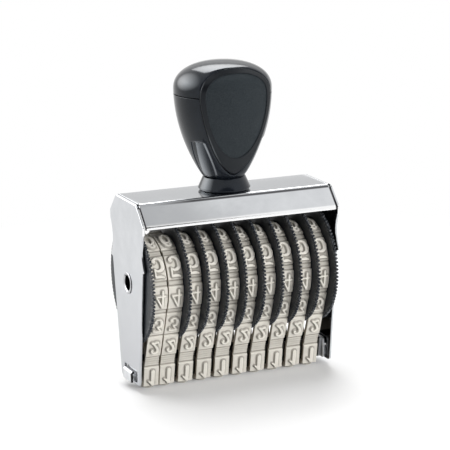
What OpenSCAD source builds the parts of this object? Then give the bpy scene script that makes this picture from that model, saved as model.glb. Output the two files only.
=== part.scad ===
// Hand numbering stamp: ten digit bands on thumbwheels in a folded steel frame,
// with a turned-style plastic handle. Units are millimetres, +Z is up, the row of
// wheels runs along X and the front is -Y. The digits' printing faces are at z = 0.

/* [Frame] */
// Height of the frame from the foot of the cheeks to its flat top
frame_h = 80; // [72:0.5:95]
// Depth of the flat top, front to back
top_d = 23.8; // [22:0.2:34]
// Depth over the lower edges of the sloping flaps
flap_d = 40.2; // [36:0.2:50]
// Drop from the flat top to the lower edge of a flap
flap_drop = 9.7; // [7:0.1:13]
// Height of the upright lip along the lower edge of a flap
lip_h = 1.3; // [0.6:0.1:2.5]
// Thickness of the sheet
sheet_t = 1.0; // [0.8:0.05:1.4]
// Depth of a cheek at its foot
foot_d = 21.6; // [18:0.2:26]
// Radius of a cheek's lower corners
foot_r = 1.8; // [0.5:0.1:4]
// Slit between the end of a flap and its cheek
slit_w = 0.4; // [0.2:0.05:0.8]
// Radius of the relief hole at the top of a slit
relief_r = 0.6; // [0.4:0.05:1]
// Outer radius of the bends
bend_r = 1.2; // [0.6:0.1:2]

/* [Cheek outline] */
// Height of the ledge below the thumb notch, above the foot
ledge_h = 52.2; // [48:0.1:56]
// Depth across the ledges
ledge_d = 40; // [36:0.2:44]
// How far the thumb notch bites in from the ledges
notch_in = 2.4; // [1:0.1:4]
// Step in under the ledge
step_in = 2.1; // [1:0.1:4]

/* [Wheels] */
// Height of the axle above the foot of the cheeks
axle_h = 43.5; // [41:0.5:46]
// Distance from one thumbwheel to the next
wheel_pitch = 8.5; // [8:0.1:11]
// Radius of a thumbwheel's rim over its teeth
rim_r = 26.3; // [24:0.1:27.5]
// Depth of the teeth on the rim
tooth_d = 0.6; // [0.3:0.05:0.9]
// Number of teeth on a rim
tooth_n = 100; // [60:4:120]
// Thickness of the rim flange
flange_t = 0.7; // [0.5:0.05:1.2]
// Radius of the drum that carries the band
drum_r = 17.6; // [16:0.1:18.5]
// Radius of the raised hub boss
boss_r = 6.5; // [5.5:0.1:9]
// Height of the raised hub boss
boss_h = 0.45; // [0.2:0.05:0.8]
// Extra drum length of the first wheel, which is turned round
end_extra = 1.1; // [0:0.1:2]
// End play between neighbouring wheels
hub_gap = 0.1; // [0.05:0.05:0.3]

/* [Axle] */
// Outer radius of the rolled axle tube
axle_r = 4.0; // [3.4:0.1:4.8]
// Wall of the axle tube
axle_wall = 0.8; // [0.5:0.05:1.2]
// Width of the open seam along the axle tube
seam_w = 0.9; // [0.4:0.1:1.5]
// Angle of the seam, back from straight up
seam_a = 38; // [0:1:90]
// Radial running clearance of a wheel on the axle
run_gap = 0.06; // [0.03:0.01:0.1]
// Radius of the flared lip at each end of the axle
flare_r = 4.7; // [4.5:0.1:6]
// Thickness of the flared lip
flare_t = 0.35; // [0.2:0.05:0.8]
// Clearance of the axle tube in its holes and of its lips on the cheeks
seat_gap = 0.05; // [0.03:0.01:0.1]

/* [Bands] */
// Width of a digit band
band_w = 6.8; // [6:0.1:7.2]
// Thickness of the belt under the pads
belt_t = 1.3; // [1:0.1:1.6]
// Height of a pad above the belt
pad_h = 0.9; // [0.5:0.1:1.2]
// Height of a digit above its pad
digit_h = 0.7; // [0.4:0.1:1]
// Length of a pad along the band
pad_l = 10.3; // [9:0.1:11]
// Length of the pad at the printing face
print_l = 9.2; // [8.8:0.1:9.6]
// Length of the pads on the faces of the anvil
face_l = 9.0; // [8:0.1:9.2]
// Height of a digit's outline
glyph_h = 8.4; // [7:0.1:8.8]
// Width of a digit's outline
glyph_w = 4.8; // [4:0.1:5.4]
// Stroke width of a digit
stroke = 1.2; // [0.9:0.1:1.3]
// Clearance between a band and the drum inside it
drum_gap = 0.2; // [0.1:0.05:0.4]
// Clearance between a band and the anvil inside it
anvil_gap = 0.1; // [0.05:0.05:0.3]
// Clearance between a band and the flange beside it
side_gap = 0.1; // [0.05:0.05:0.3]

/* [Anvil] */
// Half width of the anvil at its lower face
anvil_low = 3.9; // [3.6:0.1:4.4]
// Half width of the anvil at its shoulders
anvil_top = 5.6; // [5:0.1:6]
// Height of the anvil
anvil_h = 9.2; // [8:0.1:11]
// Sheet thickness of the anvil
anvil_t = 1.0; // [0.8:0.1:1.3]
// Radius of the anvil's bends
anvil_r = 1.2; // [1:0.1:1.6]
// Depth of the ear at each end of the anvil, front to back
ear_d = 15.2; // [13:0.2:17]
// Height of an ear
ear_h = 9.4; // [8:0.1:11]
// Height of an ear's lower edge above the foot of the cheeks
ear_up = 0.4; // [0.2:0.1:1]
// Gap between an ear and its cheek
ear_gap = 0.45; // [0.2:0.05:0.8]
// Width of a folded lug
lug_w = 9.8; // [6:0.2:11]
// Distance that a lug sits back from the middle
lug_back = 0.3; // [0:0.1:1]
// Height of a folded lug on the cheek
lug_h = 4.9; // [3.5:0.1:6]
// Gap between a lug and the outside of its cheek
lug_gap = 0.5; // [0.2:0.05:0.8]
// Gap between a lug's tongue and the upper edge of its slot
tongue_gap = 1.3; // [0.5:0.1:1.8]
// Height of the slot in a cheek
slot_h = 5.4; // [4.5:0.1:7]
// Depth of the slot from its front end to its back end
slot_d = 14.4; // [14:0.2:16]
// Height of the slot's lower edge above the foot of the cheeks
slot_up = 1.2; // [0.8:0.1:2]

/* [Handle] */
// Largest radius of the handle
handle_r = 21; // [19:0.2:24]
// Radius of the handle's neck
neck_r = 9.0; // [8.4:0.1:11]
// Height of the handle body from the collar to its widest place
body_h = 37.9; // [33:0.1:45]
// Height of the dome above the widest place
dome_h = 11.75; // [9:0.1:15]
// Distance of the cap seam below the widest place
seam_drop = 1.8; // [0.5:0.1:4]
// Radius of the core hole in the body
core_r = 6.8; // [5:0.1:7]
// Depth of the core hole below the seam
core_d = 19; // [12:0.5:22]
// Length of the cap's plug in the core hole
plug_l = 6; // [4:0.5:10]
// Clearance of the plug and of the face plates
fit_gap = 0.1; // [0.05:0.05:0.2]

/* [Face plates] */
// Half width of a face plate
plate_w = 16; // [14:0.1:17]
// Height of a face plate above the widest place of the handle
plate_up = 9.9; // [8:0.1:10.4]
// Distance from the widest place down to a plate's lower tip
plate_down = 36; // [30:0.2:36.4]
// Width of a plate's raised border
border_w = 2.1; // [1.2:0.1:3]
// Height of the raised border over the field
border_h = 0.45; // [0.3:0.05:0.8]
// Extra width of the border at the lower tip
border_tip = 5.8; // [3:0.1:7]
// Thickness of a face plate
plate_t = 1.5; // [1:0.1:2]
// How far a plate's face lies inside the widest radius
plate_in = 3.0; // [2:0.1:4]
// Distance of a plate's centre of curvature behind the handle's axis
plate_c = 12; // [8:0.5:16]
// Radius of the side scoops below the plates
scoop_r = 11; // [8:0.5:14]
// Depth of the side scoops
scoop_d = 1.0; // [0.4:0.1:1.6]

/* [Collar and screw] */
// Height of the collar
collar_h = 6.1; // [5:0.1:9]
// Largest radius of the collar
collar_r = 11.3; // [10.5:0.1:11.8]
// Chamfer at the foot of the collar
collar_c = 0.8; // [0.3:0.1:1.5]
// Radius of the locating spigot under the handle body
spigot_r = 6.2; // [5.5:0.1:7]
// Length of the locating spigot
spigot_l = 2.5; // [1.5:0.1:4]
// Radius of the handle screw's shank
screw_r = 2.5; // [2:0.1:3]
// Radius of the handle screw's head
head_r = 4.6; // [4:0.1:5.5]
// Height of the handle screw's head
head_h = 2.9; // [2:0.1:3.2]
// Thickness of the washer under the head
washer_t = 0.9; // [0.5:0.1:1.2]
// Radius of the washer under the head
washer_r = 6.2; // [5.6:0.1:7.5]
// Radius of the brass insert in the handle
insert_r = 3.9; // [3.5:0.1:4.6]
// Length of the brass insert
insert_l = 9; // [6:0.5:12]
// Radial clearance round the screw
screw_gap = 0.2; // [0.1:0.05:0.4]

/* [End washers] */
// Thickness of the flat thrust washer
thrust_t = 0.6; // [0.4:0.1:1]
// Free height of the dished spring washer
dish_h = 1.65; // [1.2:0.05:2.2]
// Sheet thickness of the spring washer
dish_t = 0.5; // [0.3:0.05:0.7]
// Outer radius of the end washers
end_r = 8; // [7:0.1:10]

/* [Hidden] */
$fn = 96;
eps = 0.01;

// Heights. The digits at the printing face set how far the cheeks stay off the paper.
z_foot = anvil_gap + belt_t + pad_h + digit_h;
z_top = z_foot + frame_h;
z_axle = z_foot + axle_h;
z_flap = z_top - flap_drop;
z_ledge = z_foot + ledge_h;

// Places along X. The stack of wheels and washers sets the length of the frame.
drum_l = wheel_pitch - flange_t - boss_h - hub_gap;
first_l = boss_h + flange_t + drum_l + end_extra;
dish_gap = 0.05;
end_gap = 0.1;
washer_room = hub_gap + thrust_t + dish_gap + dish_h + end_gap;
inner_l = hub_gap + first_l + 9 * wheel_pitch + washer_room;
x_in = inner_l / 2;
x_out = x_in + sheet_t;
x_first = -x_in + hub_gap;
x_second = x_first + first_l + hub_gap;
function wheel_x(n) = x_second + wheel_pitch * (n - 2);
function band_x(n) = n == 1
  ? x_first + first_l - side_gap / 2 - band_w
  : wheel_x(n) + drum_l - side_gap - band_w;
x_stack = wheel_x(10) + drum_l + flange_t + boss_h;

// Rounded corner: the arc of radius r that touches p1-p0 and p1-p2.
function unit(v) = v / norm(v);
function arc_at(c, r, a, b, n) = [for (i = [0:n]) c + r * [cos(a + (b - a) * i / n), sin(a + (b - a) * i / n)]];
function corner(p0, p1, p2, r, n) =
  let (u = unit(p0 - p1), v = unit(p2 - p1), h = acos(u * v) / 2)
  let (c = p1 + unit(u + v) * r / sin(h), s = p1 + u * r / tan(h), e = p1 + v * r / tan(h))
  let (a = atan2(s[1] - c[1], s[0] - c[0]), b = atan2(e[1] - c[1], e[0] - c[0]))
  arc_at(c, r, a, a + ((b - a + 540) % 360) - 180, n);
function rounded(p, r, n = 5) = [
  for (i = [0:len(p) - 1])
    let (k = len(p))
    each r[i] > 0 ? corner(p[(i + k - 1) % k], p[i], p[(i + 1) % k], r[i], n) : [p[i]]
];
function flip_y(p) = [for (i = [len(p) - 1:-1:0]) [-p[i][0], p[i][1]]];

// A flat outline in Y and Z, drawn out along X.
module along_x(x0, x1) {
  translate([x0, 0, 0]) rotate([90, 0, 90]) linear_extrude(x1 - x0) children();
}

// A flat outline in X and Z, drawn out along Y.
module along_y(y0, y1) {
  translate([0, y1, 0]) rotate([90, 0, 0]) linear_extrude(y1 - y0) children();
}

// A cylinder along X.
module bar_x(x0, x1, r) {
  translate([x0, 0, z_axle]) rotate([0, 90, 0]) cylinder(h = x1 - x0, r = r);
}

// Frame ------------------------------------------------------------------

// The notch starts a little below the flap, and the outline steps in just under the ledge.
notch_start = 1.6;
under_ledge = 0.9;
notch_top = z_flap - notch_start;
notch_mid = (notch_top + z_ledge) / 2;
notch_half = (notch_top - z_ledge) / 2;
function notch_y(z) = ledge_d / 2 - notch_in * (1 - pow((z - notch_mid) / notch_half, 2));
cheek_shoulder = rounded([
  [0, z_top], [top_d / 2, z_top], [flap_d / 2, z_flap + lip_h], [flap_d / 2, z_flap], [ledge_d / 2, notch_top],
  [0, notch_top]
], [0, 0.8, 0.6, 0.5, 0, 0], 4);
cheek_step = [ledge_d / 2 - step_in, z_ledge - under_ledge];
cheek_foot = corner(cheek_step, [foot_d / 2, z_foot], [0, z_foot], foot_r, 5);
cheek_half = concat(
  [for (i = [1:len(cheek_shoulder) - 2]) cheek_shoulder[i]],
  [for (i = [1:12]) let (z = notch_top - (notch_top - z_ledge) * i / 12) [notch_y(z), z]],
  [cheek_step],
  cheek_foot
);
cheek_outline = concat(cheek_half, flip_y(cheek_half));

flap_a = atan2(flap_drop - lip_h, (flap_d - top_d) / 2);
hood_half_out = [[top_d / 2, z_top], [flap_d / 2, z_flap + lip_h], [flap_d / 2, z_flap]];
hood_half_in = [
  [flap_d / 2 - sheet_t, z_flap],
  [flap_d / 2 - sheet_t, z_flap + lip_h - sheet_t * tan((90 - flap_a) / 2)],
  [top_d / 2 - sheet_t * tan(flap_a / 2), z_top - sheet_t]
];
hood_points = concat(hood_half_out, hood_half_in, flip_y(hood_half_in), flip_y(hood_half_out));
hood_radii = [bend_r, bend_r, 0, 0, 0.3, 0.3, 0.3, 0.3, 0, 0, bend_r, bend_r];

arch_points = [
  [-x_out, z_foot - 1], [-x_out, z_top], [x_out, z_top], [x_out, z_foot - 1],
  [x_in, z_foot - 1], [x_in, z_top - sheet_t], [-x_in, z_top - sheet_t], [-x_in, z_foot - 1]
];

// The slot lies a little to the front of the middle.
slot_shift = 0.4;
slot_z = z_foot + slot_up;
slot_y = -slot_d / 2 - slot_shift;

module frame_housing() color([0.80, 0.82, 0.84]) {
  difference() {
    union() {
      intersection() {
        along_y(-flap_d, flap_d) polygon(rounded(arch_points, [0, bend_r, bend_r, 0, 0, 0.3, 0.3, 0], 5));
        along_x(-x_out - 1, x_out + 1) polygon(cheek_outline);
      }
      along_x(-x_in + slit_w, x_in - slit_w) polygon(rounded(hood_points, hood_radii, 5));
    }
    bar_x(-x_out - 1, x_out + 1, axle_r + seat_gap);
    for (s = [-1, 1]) {
      // slot for the anvil's end and its lug
      translate([s * x_out - 2, slot_y, slot_z]) cube([4, slot_d, slot_h]);
      // relief holes where the slits meet the flat top
      for (t = [-1, 1]) {
        translate([s * (x_in - slit_w / 2), t * top_d / 2, z_top - 3]) cylinder(h = 4, r = relief_r, $fn = 24);
      }
    }
    translate([0, 0, z_top - 3]) cylinder(h = 4, r = screw_r + screw_gap);
  }
}

// Axle: a tube rolled from strip, with an open seam and a flared lip at each end.
module axle_tube() color([0.62, 0.63, 0.64]) {
  difference() {
    union() {
      bar_x(-x_out - flare_t - seat_gap, x_out + flare_t + seat_gap, axle_r);
      bar_x(-x_out - flare_t - seat_gap, -x_out - seat_gap, flare_r);
      bar_x(x_out + seat_gap, x_out + flare_t + seat_gap, flare_r);
    }
    bar_x(-x_out - 2, x_out + 2, axle_r - axle_wall);
    translate([-x_out - 2, 0, z_axle]) rotate([-seam_a, 0, 0]) translate([0, -seam_w / 2, 0])
      cube([2 * x_out + 4, seam_w, flare_r + 1]);
  }
}

module ring_x(x0, x1, ro, ri) {
  difference() {
    bar_x(x0, x1, ro);
    bar_x(x0 - 1, x1 + 1, ri);
  }
}

// Flat washer against the last wheel's boss.
x_thrust = x_stack + hub_gap;
module thrust_washer() color([0.55, 0.56, 0.58]) {
  ring_x(x_thrust, x_thrust + thrust_t, end_r, axle_r + run_gap);
}

// Dished spring washer between the flat washer and the cheek. It keeps the wheels from spinning freely.
x_dish = x_thrust + thrust_t + dish_gap;
module spring_washer() color([0.50, 0.51, 0.53]) {
  translate([x_dish, 0, z_axle]) rotate([0, 90, 0]) rotate_extrude() polygon([
    [axle_r + 0.3, 0], [axle_r + 0.3, dish_t], [end_r, dish_h], [end_r, dish_h - dish_t]
  ]);
}

// Thumbwheels --------------------------------------------------------------

// Toothed outline of a rim: one tip and one root for each tooth.
function rim_outline() = [
  for (i = [0:2 * tooth_n - 1])
    let (a = 180 * i / tooth_n, r = i % 2 == 0 ? rim_r : rim_r - tooth_d)
    r * [cos(a), sin(a)]
];

// A wheel of drum length l whose drum starts at x = 0 and whose flange follows it.
module wheel_solid(l) {
  difference() {
    union() {
      rotate([0, 90, 0]) cylinder(h = l + eps, r = drum_r);
      translate([l, 0, 0]) rotate([90, 0, 90]) linear_extrude(flange_t) polygon(rim_outline());
      translate([l, 0, 0]) rotate([0, 90, 0]) cylinder(h = flange_t + boss_h, r = boss_r);
    }
    translate([-1, 0, 0]) rotate([0, 90, 0]) cylinder(h = l + flange_t + boss_h + 2, r = axle_r + run_gap);
  }
}

module wheel(n) color([0.10, 0.105, 0.115]) {
  if (n == 1) {
    translate([x_first + first_l, 0, z_axle]) rotate([0, 0, 180]) wheel_solid(drum_l + end_extra);
  } else {
    translate([wheel_x(n), 0, z_axle]) wheel_solid(drum_l);
  }
}

// Anvil ----------------------------------------------------------------------

module anvil_section() {
  difference() {
    polygon(rounded([
      [-anvil_top, z_foot + anvil_h], [-anvil_low, z_foot], [anvil_low, z_foot], [anvil_top, z_foot + anvil_h]
    ], [0, anvil_r, anvil_r, 0], 5));
    polygon([
      [-anvil_top + anvil_t, z_foot + anvil_h + 1], [-anvil_top + anvil_t, z_foot + anvil_h],
      [-anvil_low + anvil_t, z_foot + anvil_t], [anvil_low - anvil_t, z_foot + anvil_t],
      [anvil_top - anvil_t, z_foot + anvil_h], [anvil_top - anvil_t, z_foot + anvil_h + 1]
    ]);
  }
}

// One end of the anvil: an ear that keeps the last band on, a tongue through the cheek's slot and
// the lug folded down outside the cheek.
x_ear = x_in - ear_gap;
x_lug = x_out + lug_gap;
ear_z = z_foot + ear_up;
lug_y = lug_back - lug_w / 2;
lug_top = slot_z + slot_h - tongue_gap;
module anvil_end() {
  along_x(x_ear - anvil_t, x_ear) polygon(rounded([
    [-ear_d / 2, ear_z + ear_h], [-ear_d / 2, ear_z], [ear_d / 2, ear_z], [ear_d / 2, ear_z + ear_h]
  ], [0.8, 0.8, 0.8, 0.8], 4));
  along_y(lug_y, lug_y + lug_w) polygon(rounded([
    [x_ear - eps, lug_top - anvil_t], [x_ear - eps, lug_top], [x_lug + anvil_t, lug_top],
    [x_lug + anvil_t, lug_top - lug_h], [x_lug, lug_top - lug_h], [x_lug, lug_top - anvil_t]
  ], [0, 0, anvil_r, 0, 0, 0], 5));
}

module anvil() color([0.74, 0.75, 0.76]) {
  along_x(-x_ear + eps, x_ear - eps) anvil_section();
  anvil_end();
  mirror([1, 0, 0]) anvil_end();
}

// Bands ----------------------------------------------------------------------

// The band's inner face runs round the drum, straight to a kink at the anvil's shoulder, down the
// anvil's face and round its lower bend.
r_drum = drum_r + drum_gap;
r_low = anvil_r + anvil_gap;
lean = atan2(anvil_top - anvil_low, anvil_h);
a_face = 180 + lean;
c_drum = [0, z_axle];
c_low = [-anvil_low + anvil_r / tan((90 + lean) / 2), z_foot + anvil_r];
kink_at = [-anvil_top - anvil_gap / cos(lean), z_foot + anvil_h];
a_slope = atan2(z_axle - kink_at[1], -kink_at[0]) + acos(-r_drum / norm(c_drum - kink_at));
function dir(a) = [cos(a), sin(a)];
function left_side(d) = concat(
  arc_at(c_drum, r_drum + d, 90, a_slope, 24),
  [kink_at + d / cos((a_slope - a_face) / 2) * dir((a_slope + a_face) / 2)],
  arc_at(c_low, r_low + d, a_face, 270, 6)
);
function loop_at(d) = let (s = left_side(d)) concat(s, flip_y([for (i = [1:len(s) - 1]) s[i]]));

// Pads: [distance up the run or angle round the drum]. The front holds 1 to 6 from the anvil upwards.
face_up = 1.9;
slope_up = [9.25, 20.8];
drum_at = [189.9, 150.7, 110.5];
pad_top = belt_t + pad_h;
foot_face = c_low + r_low * dir(a_face);
function up_dir(a) = [sin(a), -cos(a)];
// Each pad is [point on the inner face, angle of its outward normal, half length].
front_pads = [
  [foot_face + face_up * up_dir(a_face), a_face, face_l / 2],
  [kink_at + slope_up[0] * up_dir(a_slope), a_slope, pad_l / 2],
  [kink_at + slope_up[1] * up_dir(a_slope), a_slope, pad_l / 2]
];
drum_half = pad_l / 2 / (r_drum + pad_top) * 180 / PI;

// A pad's side faces start this far above the band's inner face.
pad_root = belt_t - 0.3;
module straight_pad(p) {
  translate(p[0]) rotate(p[1] - 90) translate([-p[2], pad_root]) square([2 * p[2], pad_top - pad_root]);
}

module drum_pad(a) {
  polygon(concat(
    arc_at(c_drum, r_drum + pad_root, a - drum_half, a + drum_half, 4),
    arc_at(c_drum, r_drum + pad_top, a + drum_half, a - drum_half, 4)
  ));
}

module pads_half() {
  for (p = front_pads) straight_pad(p);
  for (a = drum_at) drum_pad(a);
}

module band_section() {
  difference() {
    union() {
      polygon(loop_at(belt_t));
      pads_half();
      mirror([1, 0]) pads_half();
      translate([-print_l / 2, z_foot - anvil_gap - pad_top]) square([print_l, pad_top - pad_root]);
    }
    polygon(loop_at(0));
  }
}

// Digits as strokes in a box of glyph_w by glyph_h. The arcs are parts of rings.
gr = glyph_w / 2;
gy = glyph_h / 2 - gr;
module ring2(r, y) {
  translate([0, y]) difference() {
    circle(r, $fn = 32);
    circle(r - stroke, $fn = 32);
  }
}
module arc2(r, y, a, b) {
  intersection() {
    ring2(r, y);
    translate([0, y]) polygon(concat([[0, 0]], arc_at([0, 0], 2 * r, a, b, 8)));
  }
}
module box2(x0, y0, x1, y1) {
  translate([x0, y0]) square([x1 - x0, y1 - y0]);
}
module glyph(k) {
  h = glyph_h / 2;
  s = stroke;
  if (k == 0) {
    arc2(gr, gy, 0, 180);
    arc2(gr, -gy, 180, 360);
    box2(-gr, -gy - eps, -gr + s, gy + eps);
    box2(gr - s, -gy - eps, gr, gy + eps);
  }
  if (k == 1) {
    box2(-s / 2, -h, s / 2, h);
    polygon([[-s / 2 + eps, h], [-s / 2 + eps, h - 1.8], [-1.9, h - 2.6], [-1.9, h - 1.5]]);
    box2(-1.7, -h, 1.7, -h + 0.9);
  }
  if (k == 2) {
    arc2(gr, gy, -30, 180);
    // the slanting stroke starts inside the bowl, a little above its cut end
    polygon([
      [(gr - 0.1) * cos(20), gy - (gr - 0.1) * sin(20)], [(gr - s + 0.1) * cos(20), gy - (gr - s + 0.1) * sin(20)],
      [-gr + 0.05, -h + s / 2], [-gr + s + 0.3, -h + s / 2]
    ]);
    box2(-gr, -h, gr, -h + s);
  }
  if (k == 3) {
    arc2(gr * 0.92, h - gr * 0.92, -90, 160);
    arc2(gr, -h + gr, -160, 90);
    box2(-0.9, -h + 2 * gr - s, 0.2, h - 2 * gr * 0.92 + s);
  }
  if (k == 4) {
    box2(0.4, -h, 0.4 + s, h);
    polygon([[0.4 + eps, h], [-gr, -1.4], [-gr, -1.4 - s], [-gr + s, -1.4 - s / 2], [0.4 + eps, h - 2.2]]);
    box2(-gr, -1.4 - s, gr, -1.4);
  }
  if (k == 5) {
    arc2(gr, -h + gr, -160, 120);
    box2(-gr, -h + gr + 0.8, -gr + s, h);
    box2(-gr, h - s, gr - 0.3, h);
    box2(-gr, -h + 2 * gr - s - 0.1, 0.2, -h + 2 * gr - 0.1);
  }
  if (k == 6 || k == 9) {
    rotate(k == 9 ? 180 : 0) {
      ring2(gr, -h + gr);
      box2(-gr, -h + gr, -gr + s, gy);
      arc2(gr, gy, 30, 180);
    }
  }
  if (k == 7) {
    box2(-gr, h - s, gr, h);
    polygon([[gr, h - s / 2], [gr - s, h - s / 2], [-0.9, -h], [0.5, -h]]);
  }
  if (k == 8) {
    ring2(gr * 0.9, h - gr * 0.9);
    ring2(gr, -h + gr);
  }
}

// A digit stands on a pad whose surface point is p and whose outward normal is at angle a.
// It is drawn upside down on the front, so that it prints upright when its pad is underneath.
module digit_on(x, p, a, k) {
  translate([x, p[0], p[1]]) rotate([atan2(-cos(a), sin(a)), 0, 0]) translate([0, 0, -0.5])
    linear_extrude(digit_h + 0.5) mirror([0, 1]) glyph(k);
}

module band(n) color([0.80, 0.78, 0.72]) {
  x0 = band_x(n);
  xm = x0 + band_w / 2;
  along_x(x0, x0 + band_w) band_section();
  digit_on(xm, [0, z_foot - anvil_gap - pad_top], 270, 0);
  for (k = [1:3]) {
    p = front_pads[k - 1];
    digit_on(xm, p[0] + pad_top * dir(p[1]), p[1], k);
  }
  for (k = [4:6]) {
    a = drum_at[k - 4];
    digit_on(xm, c_drum + (r_drum + pad_top) * dir(a), a, k);
  }
  for (k = [7:9]) {
    a = 180 - drum_at[9 - k];
    digit_on(xm, c_drum + (r_drum + pad_top) * dir(a), a, k);
  }
}

// Handle ---------------------------------------------------------------------

z_neck = z_top + collar_h;
z_wide = z_neck + body_h;
z_seam = z_wide - seam_drop;
z_dome = z_wide + dome_h;

function body_r(z) = z >= z_wide ? handle_r
  : neck_r + (handle_r - neck_r) * pow(sin(90 * max(0, z - z_neck) / body_h), 0.8);
function dome_r(z) = handle_r * pow(max(0, 1 - pow((z - z_wide) / dome_h, 2.25)), 1 / 2.25);

// Flattened front of the handle: distance of a plate's face from the axis at height z.
function face_y(z) = (z >= z_wide ? dome_r(z) : body_r(z)) - plate_in * face_blend(z);
function face_blend(z) = z >= z_wide
  ? pow(max(0, 1 - pow((z - z_wide) / plate_up, 8)), 0.5)
  : pow(max(0, 1 - (z_wide - z) / plate_down), 0.75);
// Egg-shaped outline of a plate, grown by g.
function egg_w(z, a, up, down) = z >= z_wide - 2
  ? a * pow(max(0, 1 - pow((z - z_wide + 2) / (up + 2), 2.4)), 1 / 2.4)
  : a * pow(max(0, 1 - pow((z_wide - 2 - z) / (down - 2), 1.7)), 0.72);
egg_steps = [0, 0.02, 0.06, 0.12, 0.2, 0.3, 0.4, 0.5, 0.6, 0.7, 0.8, 0.88, 0.94, 0.98, 1];
function egg_half(a, up, down) = concat(
  [for (i = [14:-1:0]) let (z = z_wide - 2 - (down - 2) * egg_steps[i]) [egg_w(z, a, up, down), z]],
  [for (i = [1:9]) let (z = z_wide - 2 + (up + 2) * sin(10 * i)) [egg_w(z, a, up, down), z]]
);
function egg(g) = let (h = egg_half(plate_w + g, plate_up + g, plate_down + g))
  concat([for (i = [1:len(h) - 1]) h[i]], [for (i = [len(h) - 2:-1:0]) [-h[i][0], h[i][1]]]);
function inner_egg() =
  let (h = egg_half(plate_w - border_w, plate_up - border_w, plate_down - border_w - border_tip))
  concat([for (i = [1:len(h) - 1]) h[i]], [for (i = [len(h) - 2:-1:0]) [-h[i][0], h[i][1]]]);

// Solid behind a plate's face: turned about an axis plate_c behind the handle's axis, moved out by g.
face_z = [for (i = [0:16]) z_wide - plate_down - 1 + (plate_down + 1) * i / 16];
face_up_z = [for (i = [1:8]) z_wide + (plate_up + 0.6) * sin(90 * i / 8)];
module face_block(g) {
  translate([0, plate_c, 0]) rotate_extrude() polygon(concat(
    [[0, z_wide - plate_down - 1]],
    [for (z = face_z) [plate_c + face_y(z) + g, z]],
    [for (z = face_up_z) [plate_c + face_y(z) + g, z]],
    [[0, z_wide + plate_up + 0.6]]
  ));
}

// Space that a plate takes out of the handle.
module plate_pocket() {
  difference() {
    along_y(-40, 0) polygon(egg(fit_gap));
    face_block(-plate_t - fit_gap);
  }
}

module plate_solid() {
  difference() {
    intersection() {
      along_y(-40, 0) polygon(egg(0));
      face_block(border_h);
    }
    face_block(-plate_t);
    difference() {
      along_y(-40, 0) polygon(inner_egg());
      face_block(0);
    }
  }
}

module front_plate() color([0.13, 0.14, 0.15]) {
  plate_solid();
}

module rear_plate() color([0.13, 0.14, 0.15]) {
  rotate([0, 0, 180]) plate_solid();
}

// Scoops on the flanks of the lower body, beside the plates' lower ends. Each is cut by a cylinder
// that leans out with the flank and ends scoop_top above its middle.
scoop_z = z_neck + 6;
scoop_lean = 27;
scoop_top = 7;
module scoops() {
  for (a = [28, 152, 208, 332]) {
    rotate([0, 0, a]) translate([body_r(scoop_z) + scoop_r - scoop_d, 0, scoop_z])
      rotate([0, scoop_lean, 0]) translate([0, 0, scoop_top - 23]) cylinder(h = 23, r = scoop_r);
  }
}

body_z = [for (i = [0:18]) z_neck + (z_seam - z_neck) * i / 18];

module handle_body() color([0.15, 0.16, 0.17]) {
  difference() {
    union() {
      rotate_extrude() polygon(concat(
        [[0, z_neck]], [for (z = body_z) [body_r(z), z]], [[0, z_seam]]
      ));
      translate([0, 0, z_neck - spigot_l]) cylinder(h = spigot_l + 1, r = spigot_r);
    }
    translate([0, 0, z_seam - core_d]) cylinder(h = core_d + 1, r = core_r);
    translate([0, 0, z_neck - spigot_l - 1]) cylinder(h = insert_l + 2.2, r = insert_r);
    plate_pocket();
    rotate([0, 0, 180]) plate_pocket();
    scoops();
  }
}

dome_z = [for (i = [0:14]) z_wide + dome_h * sin(90 * i / 14)];

module handle_cap() color([0.16, 0.17, 0.18]) {
  difference() {
    union() {
      rotate_extrude() polygon(concat(
        [[0, z_seam], [body_r(z_seam), z_seam]],
        [for (i = [0:13]) [dome_r(dome_z[i]), dome_z[i]]],
        [[0, z_dome]]
      ));
      translate([0, 0, z_seam - plug_l]) cylinder(h = plug_l + 1, r = core_r - fit_gap);
    }
    plate_pocket();
    rotate([0, 0, 180]) plate_pocket();
  }
}

module handle_collar() color([0.14, 0.15, 0.16]) {
  difference() {
    rotate_extrude() polygon([
      [0, z_top], [collar_r - collar_c, z_top], [collar_r, z_top + 1.5 * collar_c],
      [neck_r + 0.2, z_neck], [0, z_neck]
    ]);
    translate([0, 0, z_neck - spigot_l - 0.05]) cylinder(h = spigot_l + 1, r = spigot_r + fit_gap);
    translate([0, 0, z_top - 1]) cylinder(h = collar_h, r = screw_r + screw_gap);
  }
}

module handle_screw() color([0.70, 0.71, 0.72]) {
  z_head = z_top - sheet_t - washer_t;
  difference() {
    union() {
      translate([0, 0, z_head - head_h]) cylinder(h = head_h, r = head_r);
      translate([0, 0, z_head - eps]) cylinder(h = z_neck - spigot_l + insert_l - z_head - 1, r = screw_r);
    }
    translate([-head_r, -0.5, z_head - head_h - 1]) cube([2 * head_r, 1, 2.2]);
  }
}

module screw_washer() color([0.66, 0.67, 0.68]) {
  difference() {
    translate([0, 0, z_top - sheet_t - washer_t]) cylinder(h = washer_t, r = washer_r);
    translate([0, 0, z_top - sheet_t - washer_t - 1]) cylinder(h = washer_t + 2, r = screw_r + screw_gap);
  }
}

module handle_insert() color([0.78, 0.62, 0.30]) {
  difference() {
    translate([0, 0, z_neck - spigot_l]) cylinder(h = insert_l, r = insert_r - 0.03);
    translate([0, 0, z_neck - spigot_l - 1]) cylinder(h = insert_l + 2, r = screw_r + 0.03);
  }
}

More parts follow.
